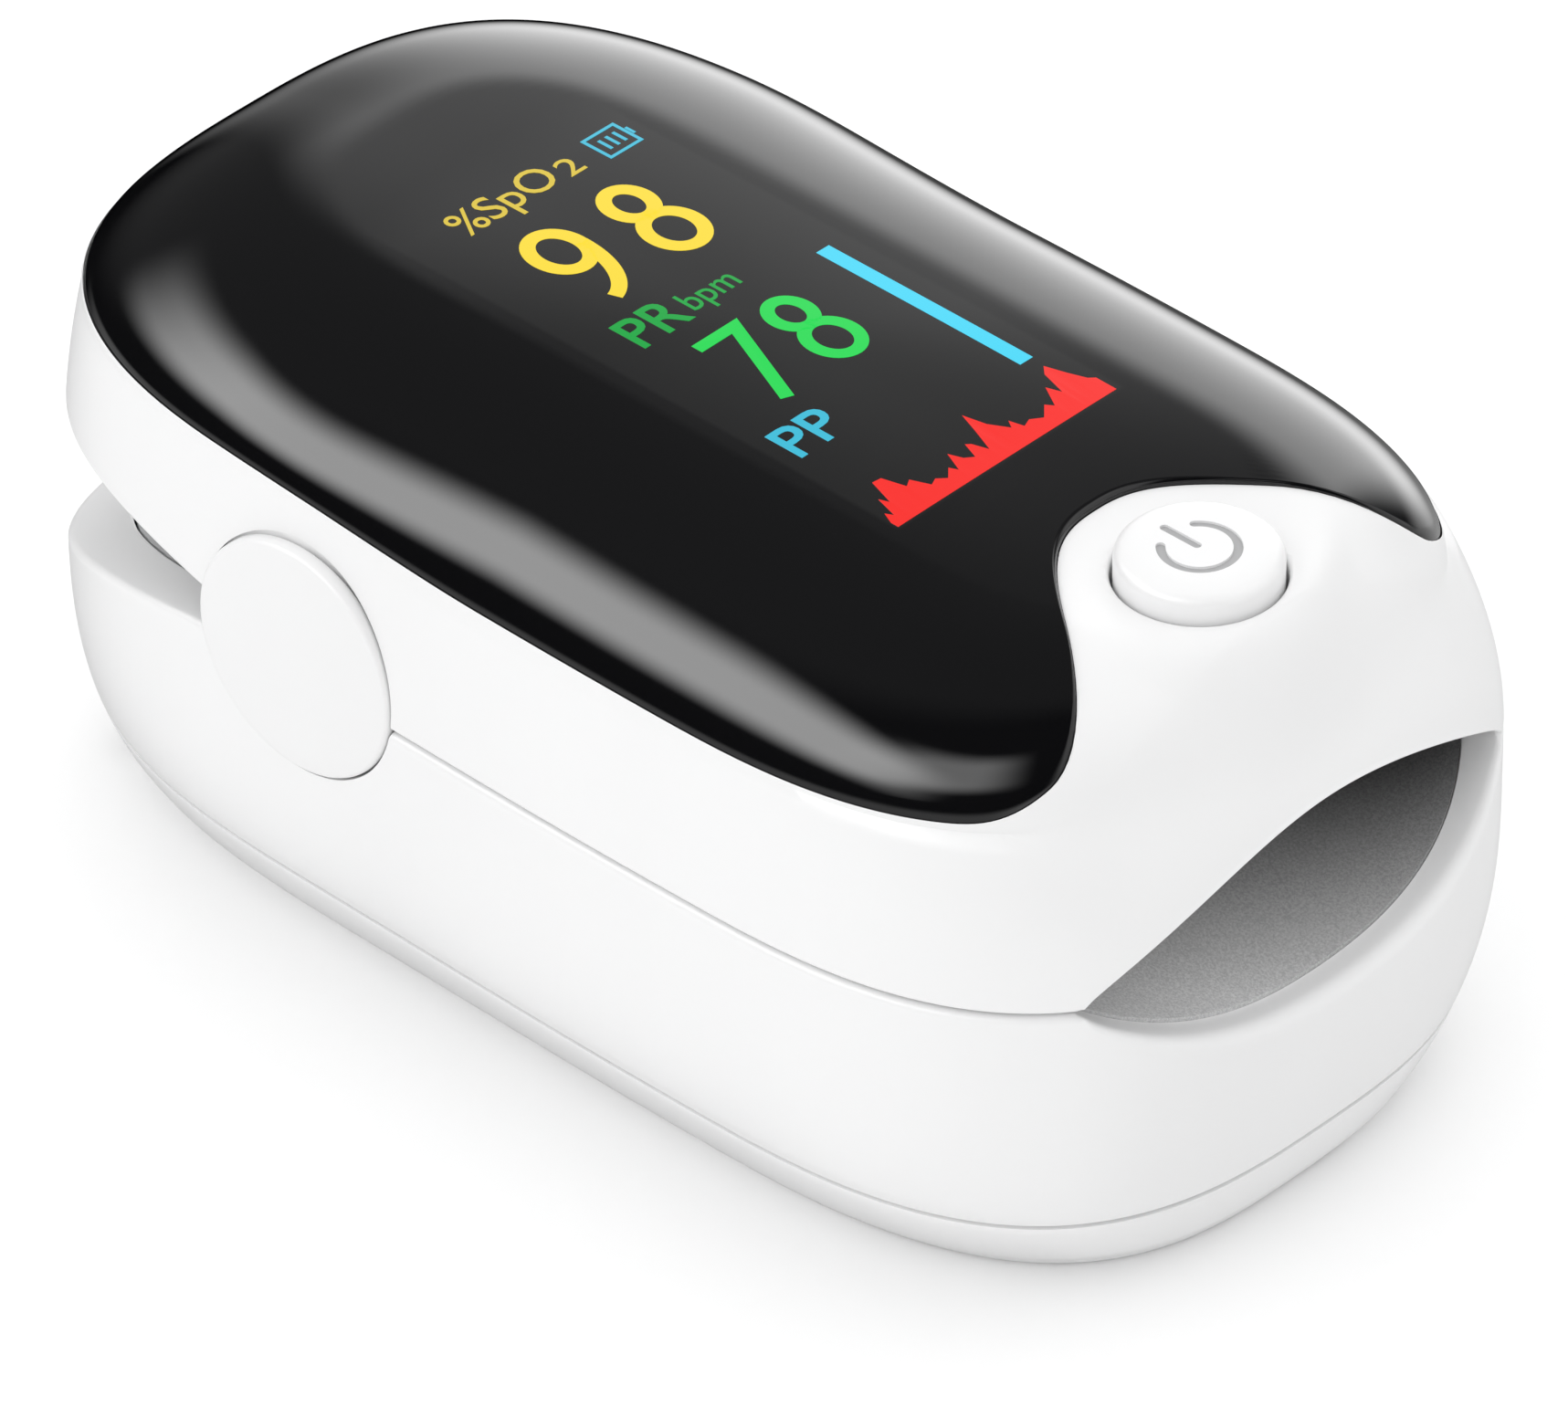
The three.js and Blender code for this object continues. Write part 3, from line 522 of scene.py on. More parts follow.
def lens_black():
    """Dark glossy window with the display's faint glow painted into its colour as a lighter rectangle, and a trace
    of fine wear.
    """
    dark, lit = (0.004, 0.004, 0.0045), (0.0112, 0.0113, 0.0115)
    look = Look("lens_black", dark, 0.045, Specular_IOR_Level=0.5)
    wear = look.noise(900, 4, 0.65, (1, 0.2, 1))
    look.set(
        Base_Color=look.mix(lit_area(look), dark, lit),
        Roughness=look.span(wear, 0.35, 0.75, 0.035, 0.06),
    )
    return look.material


def lit_area(look):
    """Mask of the display's painted glow: 1 inside the lit rectangle, fading softly at its rear, and 0 outside."""
    soft, softer = 0.12 * MM, 1.44 * MM
    rear, front, half = LIT_REAR * MM, LIT_FRONT * MM, LIT_HALF * MM
    behind = look.span(look.x, rear - softer, rear + softer)
    ahead = look.span(look.x, front + soft, front - soft)
    sides = look.span(look.math("ABSOLUTE", look.y), half + soft, half - soft)
    return look.math("MULTIPLY", look.math("MULTIPLY", behind, ahead), sides)


def silicone_grey(name, shaded_tone, lit_tone):
    """Matt silicone rubber with fine specks, with painted shade that darkens it deeper in the channel and painted
    light that makes it paler towards the mouth's near corner.
    """
    look = Look(name, shaded_tone, 0.78, Specular_IOR_Level=0.35, Sheen_Weight=0.15)
    speck = look.noise(8500, 3, 0.8)
    cloud = look.noise(160, 2, 0.5)
    lean = look.math("ADD", look.x, look.math("MULTIPLY", look.y, -0.8))
    # painted light and shade: 0 deep in the channel where the tone is darkest, 1 at the mouth's near corner where
    # it is palest
    mouth_light_share = look.span(lean, 18 * MM, 33 * MM)
    tone = look.mix(mouth_light_share, shaded_tone, lit_tone)
    lifted = look.mix(mouth_light_share, grey(1.6 * shaded_tone[0]), grey(1.5 * lit_tone[0]))
    dotted = look.mix(look.span(speck, 0.38, 0.62), tone, lifted)
    look.set(Base_Color=look.mix(look.span(cloud, 0.3, 0.7, 0.0, 0.15), dotted, lifted))
    look.bump(speck, 0.00001, 0.6)
    return look.material


def glowing(name, color, strength):
    """A lit part of the display: coloured light under a glossy window, in fine pixel rows."""
    look = Look(name, shade(color, 0.05), 0.06, Emission_Strength=strength)
    dots = look.math("ADD", look.stripes(look.x, 0.16), look.stripes(look.y, 0.16))
    look.set(Emission_Color=look.mix(look.span(dots, -2, 2, 0.94, 1.0), shade(color, 0.9), color))
    return look.material


def drawn_metal(name, color, roughness):
    """Bright metal with fine drawn lines and slight tarnish."""
    look = Look(name, color, roughness, Metallic=1.0)
    lines = look.noise(2400, 3, 0.6, (0.15, 1, 1))
    dull = look.noise(350, 2, 0.5)
    look.set(
        Base_Color=look.mix(look.span(dull, 0.4, 0.7, 0, 0.6), color, shade(color, 0.8)),
        Roughness=look.span(lines, 0.3, 0.7, roughness - 0.07, roughness + 0.1),
    )
    look.bump(lines, 0.000004, 0.5)
    return look.material


def circuit_board_green():
    """Green solder mask over paler copper tracks."""
    look = Look("circuit_board", (0.02, 0.11, 0.05), 0.35, Coat_Weight=0.3)
    cells = look.cells(900.0)
    cells.distance = "CHEBYCHEV"
    cells.feature = "DISTANCE_TO_EDGE"
    track = look.span(cells.outputs["Distance"], 0.04, 0.07, 1, 0)
    look.set(Base_Color=look.mix(track, (0.015, 0.09, 0.04), (0.05, 0.19, 0.08)))
    look.bump(track, 0.00002, 0.5)
    return look.material


def film_amber():
    """Amber film cable with copper strips under it."""
    look = Look("film_cable", (0.45, 0.2, 0.05), 0.35, Coat_Weight=0.3)
    wave = look.stripes(look.y, 0.5)
    look.set(Base_Color=look.mix(look.span(wave, -0.1, 0.3), (0.42, 0.17, 0.04), (0.62, 0.3, 0.1)))
    look.bump(wave, 0.00001, 0.4)
    return look.material


def black_foam():
    """Open-cell foam: soft black with tiny pits, with painted shade making the pits darker."""
    look = Look("black_foam", (0.02, 0.02, 0.022), 0.95)
    pits = look.cells(3000.0).outputs["Distance"]
    look.set(Base_Color=look.mix(look.span(pits, 0, 0.6), grey(0.008), grey(0.035)))
    look.bump(pits, 0.0001)
    return look.material


def clear_epoxy():
    """Slightly amber clear resin with faint haze."""
    look = Look("clear_epoxy", (0.82, 0.79, 0.72), 0.12, Transmission_Weight=0.6, IOR=1.52)
    haze = look.noise(500, 3, 0.5)
    look.set(
        Base_Color=look.mix(look.span(haze, 0.3, 0.7), (0.80, 0.76, 0.68), (0.88, 0.86, 0.8)),
        Roughness=look.span(haze, 0.3, 0.7, 0.08, 0.18),
    )
    return look.material


def cell_jacket():
    """Printed foil jacket of a dry cell: plain dark band and pale band, no words."""
    look = Look("cell_jacket", (0.1, 0.11, 0.12), 0.3, Metallic=0.4)
    band = look.span(look.x, 8.0 * MM, 8.1 * MM)
    scuff = look.noise(700, 4, 0.7, (0.2, 1, 1))
    dark = look.mix(look.span(scuff, 0.55, 0.75, 0, 0.5), (0.07, 0.08, 0.09), (0.2, 0.21, 0.22))
    look.set(Base_Color=look.mix(band, dark, (0.72, 0.55, 0.2)))
    look.bump(scuff, 0.000006, 0.4)
    return look.material


def lens_black_panel():
    """The display panel's glass: near black with faint rows of cells."""
    look = Look("panel_glass", (0.01, 0.013, 0.016), 0.1)
    cells = look.node("TexBrick", Vector=look.place, Scale=2500.0)
    look.set(Base_Color=look.mix(cells.outputs["Fac"], (0.008, 0.01, 0.013), (0.02, 0.024, 0.03)))
    return look.material


def floor_white():
    """Plain pale studio floor."""
    look = Look("floor_white", grey(0.97), 0.9, Specular_IOR_Level=0.0)
    look.set(Base_Color=look.mix(look.noise(4, 2, 0.5), grey(0.965), grey(0.975)))
    return look.material


# ---- white cases

STATIONS = Outline(520)
LIP = 0.04
EDGE_LAP, EDGE_DEPTH = 0.15, 1.25
SINK_FADE = 3.0
UPPER_RIM_RADIUS, LOWER_RIM_RADIUS, LIP_RADIUS = 0.28, 0.32, 0.45
SEAM_RADIUS = 0.12
SHELF_WIDTH = 1.8
REAR_BAND, REAR_BAND_FROM = 2.5, -12
TRAY_FLOOR = 1.9
DOOR_GAP, DOOR_TONGUE, TONGUE_LEVEL = 0.25, 1.0, 0.75


def finish(made, body, slot, material, *replaced):
    """Gives a piece its material, the body it rides on and the CAD node it stands for."""
    made.data.materials.clear()
    made.data.materials.append(material)
    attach(made, body)
    if replaced:
        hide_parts(*replaced)


def wall_row(z, inset=0.0, level=None):
    """A row round the outer wall's plan at a height, moved in, and put at a level of its own if given."""
    x, y = STATIONS.at(z, inset)
    return row(x, y, z if level is None else level)


def wall_rows(z_from, z_to, count, inset=0.0):
    """Rows down or up the wall between two heights that may vary round the outline."""
    return [wall_row(z_from + (z_to - z_from) * share, inset) for share in np.linspace(0, 1, count)]


def rim_level(rim, inset):
    """Height of a rim line at the plan point that lies an inset inside the wall."""
    x, y = STATIONS.at(PARTING, inset)
    return rim(x, y)


def upper_case():
    """Case round the window: a narrow band, the key's bay in front, and the wall down to the parting."""
    edge = np.array(window_edge(STATIONS, LIP))
    seam = np.array(STATIONS.at(WINDOW_SEAM))
    width = np.hypot(*(seam - edge))
    away = (seam - edge) / width
    ledge = np.maximum(seam_level(edge[0]) - EDGE_LAP, case_height(*edge, BAY_SINK) - EDGE_DEPTH)
    rows = [row(*edge, ledge)]
    for inset, drop in rounding(LIP, 4):
        x, y = edge + away * inset
        rows.append(row(x, y, np.maximum(case_height(x, y, BAY_SINK) - drop, ledge + 0.02)))
    for share in np.linspace(0, 1, 46)[1:]:
        inset = LIP + (width - LIP) * (1 - (1 - share) ** 1.8)
        x, y = edge + away * inset
        rows.append(row(x, y, case_height(x, y, BAY_SINK * np.clip((width - inset) / SINK_FADE, 0, 1))))
    seam_row = len(rows) - 1
    rim = rim_level(upper_rim, 0)
    rows += wall_rows(seam_level(seam[0]), rim + UPPER_RIM_RADIUS, 22)[1:]
    soften(rows, seam_row, smooth_step((width - 0.15) / 1.1))
    for inset, drop in rounding(UPPER_RIM_RADIUS, 5)[1:]:
        rows.append(wall_row(rim, inset, rim_level(upper_rim, inset) + drop))
    for inset in (WALL - 0.5, WALL):
        rows.append(wall_row(rim_level(upper_rim, inset), inset))
    inner_top = low("main_board").z - 0.2
    rows += wall_rows(rim_level(upper_rim, WALL) + 0.1, inner_top, 8, WALL)
    shelf_x, shelf_y = STATIONS.at(WINDOW_SEAM, WALL + SHELF_WIDTH)
    rows.append(row(shelf_x, shelf_y, inner_top))
    rows.append(row(shelf_x, shelf_y, seam_level(shelf_x) - EDGE_LAP))
    made = ring_solid("case_top_smooth", rows)
    cut(made, *cap_cutters(True), key_cutter())
    finish(made, "upper", "white_shell", SHELL_WHITE, "upper_case")


def soften(rows, middle, share):
    """Smooths the profile either side of one row, at the stations where the share isn't 0."""
    reach, passes = 15, 60
    span = np.array(rows[middle - reach : middle + reach + 1])
    level = np.cos(np.linspace(-np.pi / 2, np.pi / 2, 2 * reach + 1))[:, None, None] * share[None, :, None]
    for _ in range(passes):
        mean = (span[:-2] + 2 * span[1:-1] + span[2:]) / 4
        span[1:-1] += (mean - span[1:-1]) * np.minimum(1, 1.6 * level[1:-1])
    rows[middle - reach : middle + reach + 1] = list(span)


def lower_case():
    """Case from the base seam up to the parting, with a fuller round where the finger goes in."""
    bottom = BASE_SEAM + HALF_SEAM
    rim = rim_level(lower_rim, 0)
    x, y = STATIONS.at(PARTING)
    lip = np.where(x > MOUTH_FROM, np.clip(1 - (y / MOUTH_HALF_WIDTH) ** 2, 0, 1) ** 0.5, 0)
    radius = LOWER_RIM_RADIUS + LIP_RADIUS * lip
    rows = [wall_row(bottom, inset, bottom + drop) for inset, drop in rounding(SEAM_RADIUS, 3)[::-1]]
    rows += wall_rows(bottom + SEAM_RADIUS, rim - radius, 30)[1:]
    for inset, drop in rounding(1, 9)[1:]:
        rows.append(wall_row(rim, inset * radius, rim_level(lower_rim, inset * radius) - drop * radius))
    band = np.where(x < REAR_BAND_FROM, REAR_BAND, WALL)
    band = np.convolve(np.concatenate([band[-9:], band, band[:9]]), np.ones(19) / 19, "valid")
    for share in (0.35, 0.7, 0.94):
        inset = radius + (band - radius) * share
        rows.append(wall_row(rim_level(lower_rim, inset), inset))
    rows += wall_rows(rim_level(lower_rim, band) - 0.12, bottom, 8, band)
    made = ring_solid("case_bottom_smooth", rows)
    cut(made, *cap_cutters())
    finish(made, "lower", "white_shell", SHELL_WHITE, "lower_case")


def cap_cutters(pin_hole=False):
    """Round pockets in both sides for the hinge caps, a little wider than the caps."""
    face, floor_level = high("hinge_cap_left").y, low("hinge_cap_left").y - 0.15
    radius = CAP_RADIUS - 0.03
    outline = [(0, floor_level)]
    if pin_hole:
        hole, depth = PIN_RADIUS + 0.3, high("hinge_pin_left").y - 4
        outline = [(0, depth), (hole, depth), (hole, floor_level)]
    outline += [(radius, floor_level), (radius, face + 3), (0, face + 3)]
    made = []
    for side in (1, -1):
        tool = turned("cap_pocket", outline)
        lay_on_side(tool, HINGE.x, side, HINGE.z)
        made.append(tool)
    return made


def key_cutter():
    """The key's hole, which flares at the seat."""
    radius, flare = KEY_RADIUS + 0.14, 0.22
    bottom, above = WINDOW_SEAM - 3, SEAT_LEVEL + 3
    outline = [(0, bottom), (radius, bottom), *arc(radius + flare, SEAT_LEVEL - 0.2, flare, 180, 90, 5)]
    tool = turned("key_hole", outline + [(radius + flare, above), (0, above)])
    slide(tool, KEY.x)
    return tool


def tray_rows(top, count):
    """Rows of the tray's rounded foot and its wall up to a height."""
    foot = [wall_row(0, inset, drop) for inset, drop in rounding(BASE_ROUNDING, 7)[::-1]]
    return foot + wall_rows(BASE_ROUNDING, top, count)[1:]


def base_shell():
    """Bottom tray with its counterbored screw holes and the opening for the battery door."""
    top = BASE_SEAM - HALF_SEAM
    rows = tray_rows(top - SEAM_RADIUS, 10)
    rows += [wall_row(top, inset, top - drop) for inset, drop in rounding(SEAM_RADIUS, 3)[1:]]
    rows += [wall_row(top, WALL), wall_row(TRAY_FLOOR, WALL)]
    made = capped_solid("base_smooth", rows)
    door = high("battery_door")
    front, half, level = door.x + DOOR_GAP, door.y + DOOR_GAP, door.z + 0.15
    narrow = half - DOOR_TONGUE
    cut(
        made,
        block("door_opening", (-60, -narrow, -2), (front, narrow, level)),
        block("door_groove", (-60, -half, 0.6), (front, half, level)),
        block("battery_well", (low("battery_left").x - 1, -narrow, level - 0.5), (front, narrow, 5)),
        screw_bore("base_screw_left"),
        screw_bore("base_screw_right"),
    )
    finish(made, "lower", "white_shell", SHELL_WHITE, "base_shell")


def screw_bore(node):
    """A screw's hole through the tray, with a wider bore for its head."""
    head, shank, depth = 1.5, 0.7, 0.95
    outline = [(0, -2), (head, -2), (head, depth), (shank, depth), (shank, 6), (0, 6)]
    tool = turned("screw_bore", outline, 40)
    slide(tool, centre(node).x, centre(node).y)
    return tool


def block(name, lower, upper):
    """A plain cutting block between two corners."""
    xs, ys, zs = zip(lower, upper)
    points = [(x, y, z) for z in zs for y in ys for x in xs]
    faces = [(0, 1, 3, 2), (4, 6, 7, 5), (0, 4, 5, 1), (2, 3, 7, 6), (0, 2, 6, 4), (1, 5, 7, 3)]
    return piece(name, points, faces)


def battery_door():
    """Sliding door: the rear of the tray's form, with a tongue along each side and finger grooves."""
    door = high("battery_door")
    made = capped_solid("door_smooth", tray_rows(door.z, 4))
    tools = []
    for side in (1, -1):
        for half, level in ((10.9, TONGUE_LEVEL), (door.y, 5)):
            y0, y1 = sorted((side * half, side * 40))
            tools.append(block("door_side", (-60, y0, -2), (60, y1, level)))
    tools.append(block("door_front", (door.x, -40, -2), (60, 40, 5)))
    tools += [grip_groove(x) for x in (-27.0, -25.6, -24.2)]
    cut(made, *tools)
    finish(made, "door", "white_shell", SHELL_WHITE, "battery_door")


def grip_groove(x):
    """A shallow groove with round ends, for cutting across the door's outer face."""
    half_length, half_width, depth = 5.0, 0.35, 0.3
    turn = np.linspace(0, 2 * np.pi, 32, endpoint=False)
    px = x + half_width + half_width * np.cos(turn)
    py = half_length * np.sign(np.sin(turn)) + half_width * np.sin(turn)
    return capped_solid("grip_groove", [row(px, py, -2), row(px, py, depth)])


# ---- window and display

LIT_REAR, LIT_FRONT, LIT_HALF = -16.2, 13.4, 6.7
INK_SINK, INK_THICKNESS = 0.03, 0.045
EDGE_RADIUS = 0.3


def display_window():
    """The glossy window: rounded edge, domed top and an even thickness."""
    edge = np.array(window_edge(STATIONS, 0))
    length = np.hypot(*edge)
    inward = -edge / length
    bottom = np.maximum(seam_level(edge[0]) - 0.1, crown_height(*edge) - WINDOW_THICKNESS)
    rows = [row(*edge, bottom)]
    for inset, drop in rounding(EDGE_RADIUS, 7):
        x, y = edge + inward * inset
        rows.append(row(x, y, np.maximum(crown_height(x, y) - drop, bottom + 0.02)))
    inner = []
    for share in np.linspace(0, 1, 72)[1:-1]:
        inset = EDGE_RADIUS + (length - EDGE_RADIUS) * share ** 1.7
        x, y = edge + inward * inset
        rows.append(row(x, y, crown_height(x, y)))
        inner.append((x, y))
    under = [row(x, y, np.maximum(crown_height(x, y) - WINDOW_THICKNESS, bottom)) for x, y in inner[::6]]
    made = capped_solid("window_smooth", under[::-1] + rows, smooth_angle=60)
    finish(made, "upper", "black_window", LENS_BLACK, "display_window")


def ink_piece(name, points, faces, ink):
    """Thin solid display marks set in the window's top surface, each face given as a ring of points."""
    xy = np.array(points, float)
    base = crown_height(xy[:, 0], xy[:, 1]) - INK_SINK
    mesh = bpy.data.meshes.new(name)
    mesh.from_pydata((np.column_stack([xy, base]) * MM).tolist(), [], faces)
    solid = bmesh.new()
    solid.from_mesh(mesh)
    bmesh.ops.remove_doubles(solid, verts=solid.verts, dist=1e-8)
    for face in solid.faces:
        face.normal_update()
        if face.normal.z < 0:
            face.normal_flip()
    raised = bmesh.ops.extrude_face_region(solid, geom=list(solid.faces))["geom"]
    for vertex in (item for item in raised if isinstance(item, bmesh.types.BMVert)):
        vertex.co.z += INK_THICKNESS * MM
    bmesh.ops.recalc_face_normals(solid, faces=solid.faces)
    solid.to_mesh(mesh)
    solid.free()
    finish(shown(name, mesh), "upper", "display_glass", INKS[ink])


def rectangle(x0, x1, y0, y1, across=6, along=6):
    """Points and quads of an upright grid between two corners."""
    points = [(x, y) for x in np.linspace(x0, x1, along) for y in np.linspace(y0, y1, across)]
    faces = []
    for i in range(along - 1):
        for j in range(across - 1):
            a = i * across + j
            faces.append((a, a + 1, a + across + 1, a + across))
    return points, faces


def unit(vectors):
    return vectors / np.linalg.norm(vectors, axis=1)[:, None]


def ribbon(path, width, closed=False):
    """Points and quads of a flat line of even width along a path."""
    path = np.array(path, float)
    ahead = np.roll(path, -1, 0) - path
    if not closed:
        ahead[-1] = ahead[-2]
    behind = np.roll(ahead, 1, 0)
    if not closed:
        behind[0] = ahead[0]
    tangent = unit(ahead)
    bisector = unit(tangent + unit(behind))
    stretch = 1 / np.maximum(np.sum(bisector * tangent, axis=1), 0.5)
    side = np.column_stack([-bisector[:, 1], bisector[:, 0]]) * (width / 2 * stretch)[:, None]
    points = np.vstack([path + side, path - side])
    count = len(path)
    faces = []
    for i in range(count if closed else count - 1):
        j = (i + 1) % count
        faces.append((i, j, count + j, count + i))
    return points.tolist(), faces


def joined(*parts):
    """Several sets of points and faces as one."""
    points, faces = [], []
    for more_points, more_faces in parts:
        start = len(points)
        points += list(more_points)
        faces += [tuple(start + i for i in face) for face in more_faces]
    return points, faces


NINE = ((ellipse_path(0.29, 0.70, 0.25, 0.255, 0, 360, 49)[:-1], True),
        (ellipse_path(0.05, 0.67, 0.49, 0.66, 0, -80, 26), False))
EIGHT = ((ellipse_path(0.30, 0.745, 0.205, 0.205, 0, 360, 41)[:-1], True),
         (ellipse_path(0.30, 0.29, 0.255, 0.245, 0, 360, 45)[:-1], True))
SEVEN = (([(0.02, 0.955), (0.56, 0.955), (0.05, 0.0)], False),)
GLYPHS = {"9": NINE, "8": EIGHT, "7": SEVEN}


def number(name, text, rear, front, y_start, pitch, width, ink):
    """Large digits that read along +Y, with their tops toward the rear."""
    tall, wide = front - rear, (front - rear) * 0.79
    parts = []
    for index, letter in enumerate(text):
        for path, closed in GLYPHS[letter]:
            placed = [(front - up * tall, y_start + pitch * index + across * wide) for across, up in path]
            parts.append(ribbon(placed, width, closed))
    ink_piece(name, *joined(*parts), ink)


def letters(text, baseline, y_start, height, length, weight=0.003):
    """Points and faces of small built-in letters that read along +Y, fitted to a box."""
    curve = bpy.data.curves.new("letters", "FONT")
    curve.body = text
    curve.resolution_u = 4
    curve.offset = weight
    holder = shown("letters", curve)
    depsgraph = bpy.context.evaluated_depsgraph_get()
    mesh = bpy.data.meshes.new_from_object(holder.evaluated_get(depsgraph))
    flat = np.array([v.co[:2] for v in mesh.vertices])
    faces = [tuple(p.vertices) for p in mesh.polygons]
    bpy.data.objects.remove(holder)
    bpy.data.curves.remove(curve)
    bpy.data.meshes.remove(mesh)
    flat -= flat.min(axis=0)
    flat /= flat.max(axis=0)
    points = np.column_stack([baseline - flat[:, 1] * height, y_start + flat[:, 0] * length])
    return points.tolist(), faces


def battery_sign():
    """Outline of a cell with three charge bars."""
    x0, x1, y0, y1 = -14.7, -13.05, 4.1, 5.9
    line, margin, pitch = 0.16, 0.42, 0.43
    frame_line = ribbon([(x0, y0), (x1, y0), (x1, y1), (x0, y1)], line, True)
    starts = [y0 + margin + pitch * index for index in range(3)]
    bars = [rectangle(x0 + margin, x1 - margin, y, y + line, 2, 2) for y in starts]
    nub = rectangle(x0 + 0.55, x1 - 0.55, y1 + 0.12, y1 + 0.26, 2, 2)
    ink_piece("sign_charge", *joined(frame_line, *bars, nub), "cyan_soft")


PULSE = (
    (0.0, 0.02), (0.02, 0.22), (0.035, 0.10), (0.06, 0.5), (0.075, 0.34), (0.11, 0.82), (0.145, 0.8),
    (0.17, 0.42), (0.2, 0.5), (0.23, 0.2), (0.26, 0.26), (0.29, 0.14), (0.33, 0.3), (0.345, 0.16),
    (0.38, 0.52), (0.4, 0.3), (0.43, 0.2), (0.455, 0.5), (0.47, 0.44), (0.49, 0.18), (0.53, 0.62),
    (0.56, 0.98), (0.58, 0.6), (0.62, 0.3), (0.64, 0.44), (0.655, 0.2), (0.69, 0.26), (0.73, 0.14),
    (0.78, 0.34), (0.8, 0.22), (0.85, 0.6), (0.87, 0.36), (0.9, 0.82), (0.93, 0.96), (0.955, 0.62),
    (0.98, 0.34), (1.0, 0.26),
)


def pulse_graph():
    """Filled pulse wave on a solid base line."""
    base, line, y0, y1, height = 13.3, 0.35, -6.6, 6.4, 2.97
    points, faces = [], []
    for share, value in PULSE:
        y = y0 + (y1 - y0) * share
        points += [(base, y), (base - line - height * value, y)]
    for i in range(len(PULSE) - 1):
        a = 2 * i
        faces.append((a, a + 2, a + 3, a + 1))
    ink_piece("sign_pulse", points, faces, "red")


def display_marks():
    """The readings, their labels and the level bar."""
    saturation = joined(
        letters("%SpO", -12.8, -4.05, 2.25, 5.6),
        letters("2", -13.25, 1.95, 1.25, 0.95),
    )
    ink_piece("sign_saturation", *saturation, "yellow_soft")
    battery_sign()
    number("value_saturation", "98", -11.6, -5.9, -3.6, 4.4, 0.68, "yellow")
    rate = joined(
        letters("PR", -2.55, -4.8, 2.1, 3.0, 0.012),
        letters("bpm", -2.4, -1.5, 1.8, 2.8),
    )
    ink_piece("sign_rate", *rate, "green_soft")
    number("value_rate", "78", -1.2, 4.02, -3.5, 3.28, 0.61, "green")
    ink_piece("sign_index", *letters("PP", 7.3, -5.9, 2.1, 2.9, 0.012), "cyan_soft")
    ink_piece("sign_bar", *rectangle(-2.1, 9.35, 4.9, 5.65, 2, 12), "cyan")
    pulse_graph()


# ---- key and hinge caps

def crowned(radius, edge, roll, turn, steps, top, crown, shares):
    """Outline of a disc's rolled edge and its slightly crowned face, up to the middle."""
    rolled = arc(radius - roll, edge, roll, 0, turn, steps)
    return rolled + [(radius * share, top - crown * share**2) for share in shares] + [(0, top)]


def power_key():
    """Round key with a soft rolled edge and a sunk power sign, with grey pieces in the sign's grooves as painted
    shade.
    """
    r, top, roll = KEY_RADIUS, KEY_TOP, 0.5
    stem, stem_end, under, bevel = 1.3, low("power_button").z + 0.12, 26.9, 0.1
    outline = [(0, stem_end), (stem - bevel, stem_end), (stem, stem_end + bevel), (stem, under)]
    outline += [(r - bevel, under), (r, under + bevel)]
    outline += crowned(r, top - roll - 0.08, roll, 78, 9, top, 0.05, (0.8, 0.6, 0.3, 0.02))
    made = turned("key_smooth", outline, 128, 50)
    slide(made, KEY.x)
    cut(made, *power_sign(top + 0.5, top - 0.2))
    finish(made, "button", "white_button", BUTTON_WHITE, "power_button")
    # grey pieces set in the sign's grooves: painted shade of the sunk sign
    for index, part in enumerate(power_sign(top - 0.13, top - 0.19)):
        part.name = f"key_sign_{index}"
        finish(part, "button", "white_button", SIGN_SHADE_GREY)


def power_sign(z1, z0):
    """Solids of the power sign: a ring that is open toward the rear, and a bar in the opening."""
    radius, half, end = 1.57, 0.2, 140
    outer = arc(KEY.x, 0, radius + half, end, -end, 64)
    inner = arc(KEY.x, 0, radius - half, -end, end, 64)
    ring_xy = outer + round_end(radius, half, -end, -end) + inner + round_end(radius, half, end, end + 180)
    made = []
    for name, xy in (("sign_ring", ring_xy), ("sign_stroke", capsule(KEY.x - 2.1, KEY.x + 0.05, half))):
        count = len(xy)
        points = [(*p, z) for z in (z0, z1) for p in xy]
        faces = [tuple(range(count)), tuple(range(count, 2 * count))]
        faces += [(i, (i + 1) % count, count + (i + 1) % count, count + i) for i in range(count)]
        made.append(piece(name, points, faces, 50))
    return made


def round_end(radius, half, angle, start):
    """Half circle at an open end of the ring, which turns back by half a turn from its start."""
    x, y = radius * math.cos(math.radians(angle)), radius * math.sin(math.radians(angle))
    return arc(KEY.x + x, y, half, start, start - 180, 8)[1:-1]


def capsule(x0, x1, half):
    """Outline of a bar with round ends."""
    return arc(x1 - half, 0, half, -90, 90, 10) + arc(x0 + half, 0, half, 90, 270, 10)


def hinge_cap(side, label):
    """Slightly crowned disc with a fine rolled edge."""
    lower, face = low("hinge_cap_left").y, high("hinge_cap_left").y
    r, roll, crown, bevel = CAP_RADIUS - 0.13, 0.22, 0.12, 0.1
    outline = [(0, lower), (r - bevel, lower), (r, lower + bevel)]
    outline += crowned(r, face - roll - crown, roll, 80, 6, face, crown, (0.9, 0.75, 0.5, 0.25, 0.02))
    made = turned(f"cap_smooth_{label}", outline, 128, 50)
    lay_on_side(made, HINGE.x, side, HINGE.z)
    rides_upper = "hinge_cap_left" in frame["record"]["behaviour"]["bodies"]["upper"]
    body = "upper" if rides_upper else "lower"
    finish(made, body, "white_shell", CAP_WHITE, f"hinge_cap_{label}")


# ---- finger pads

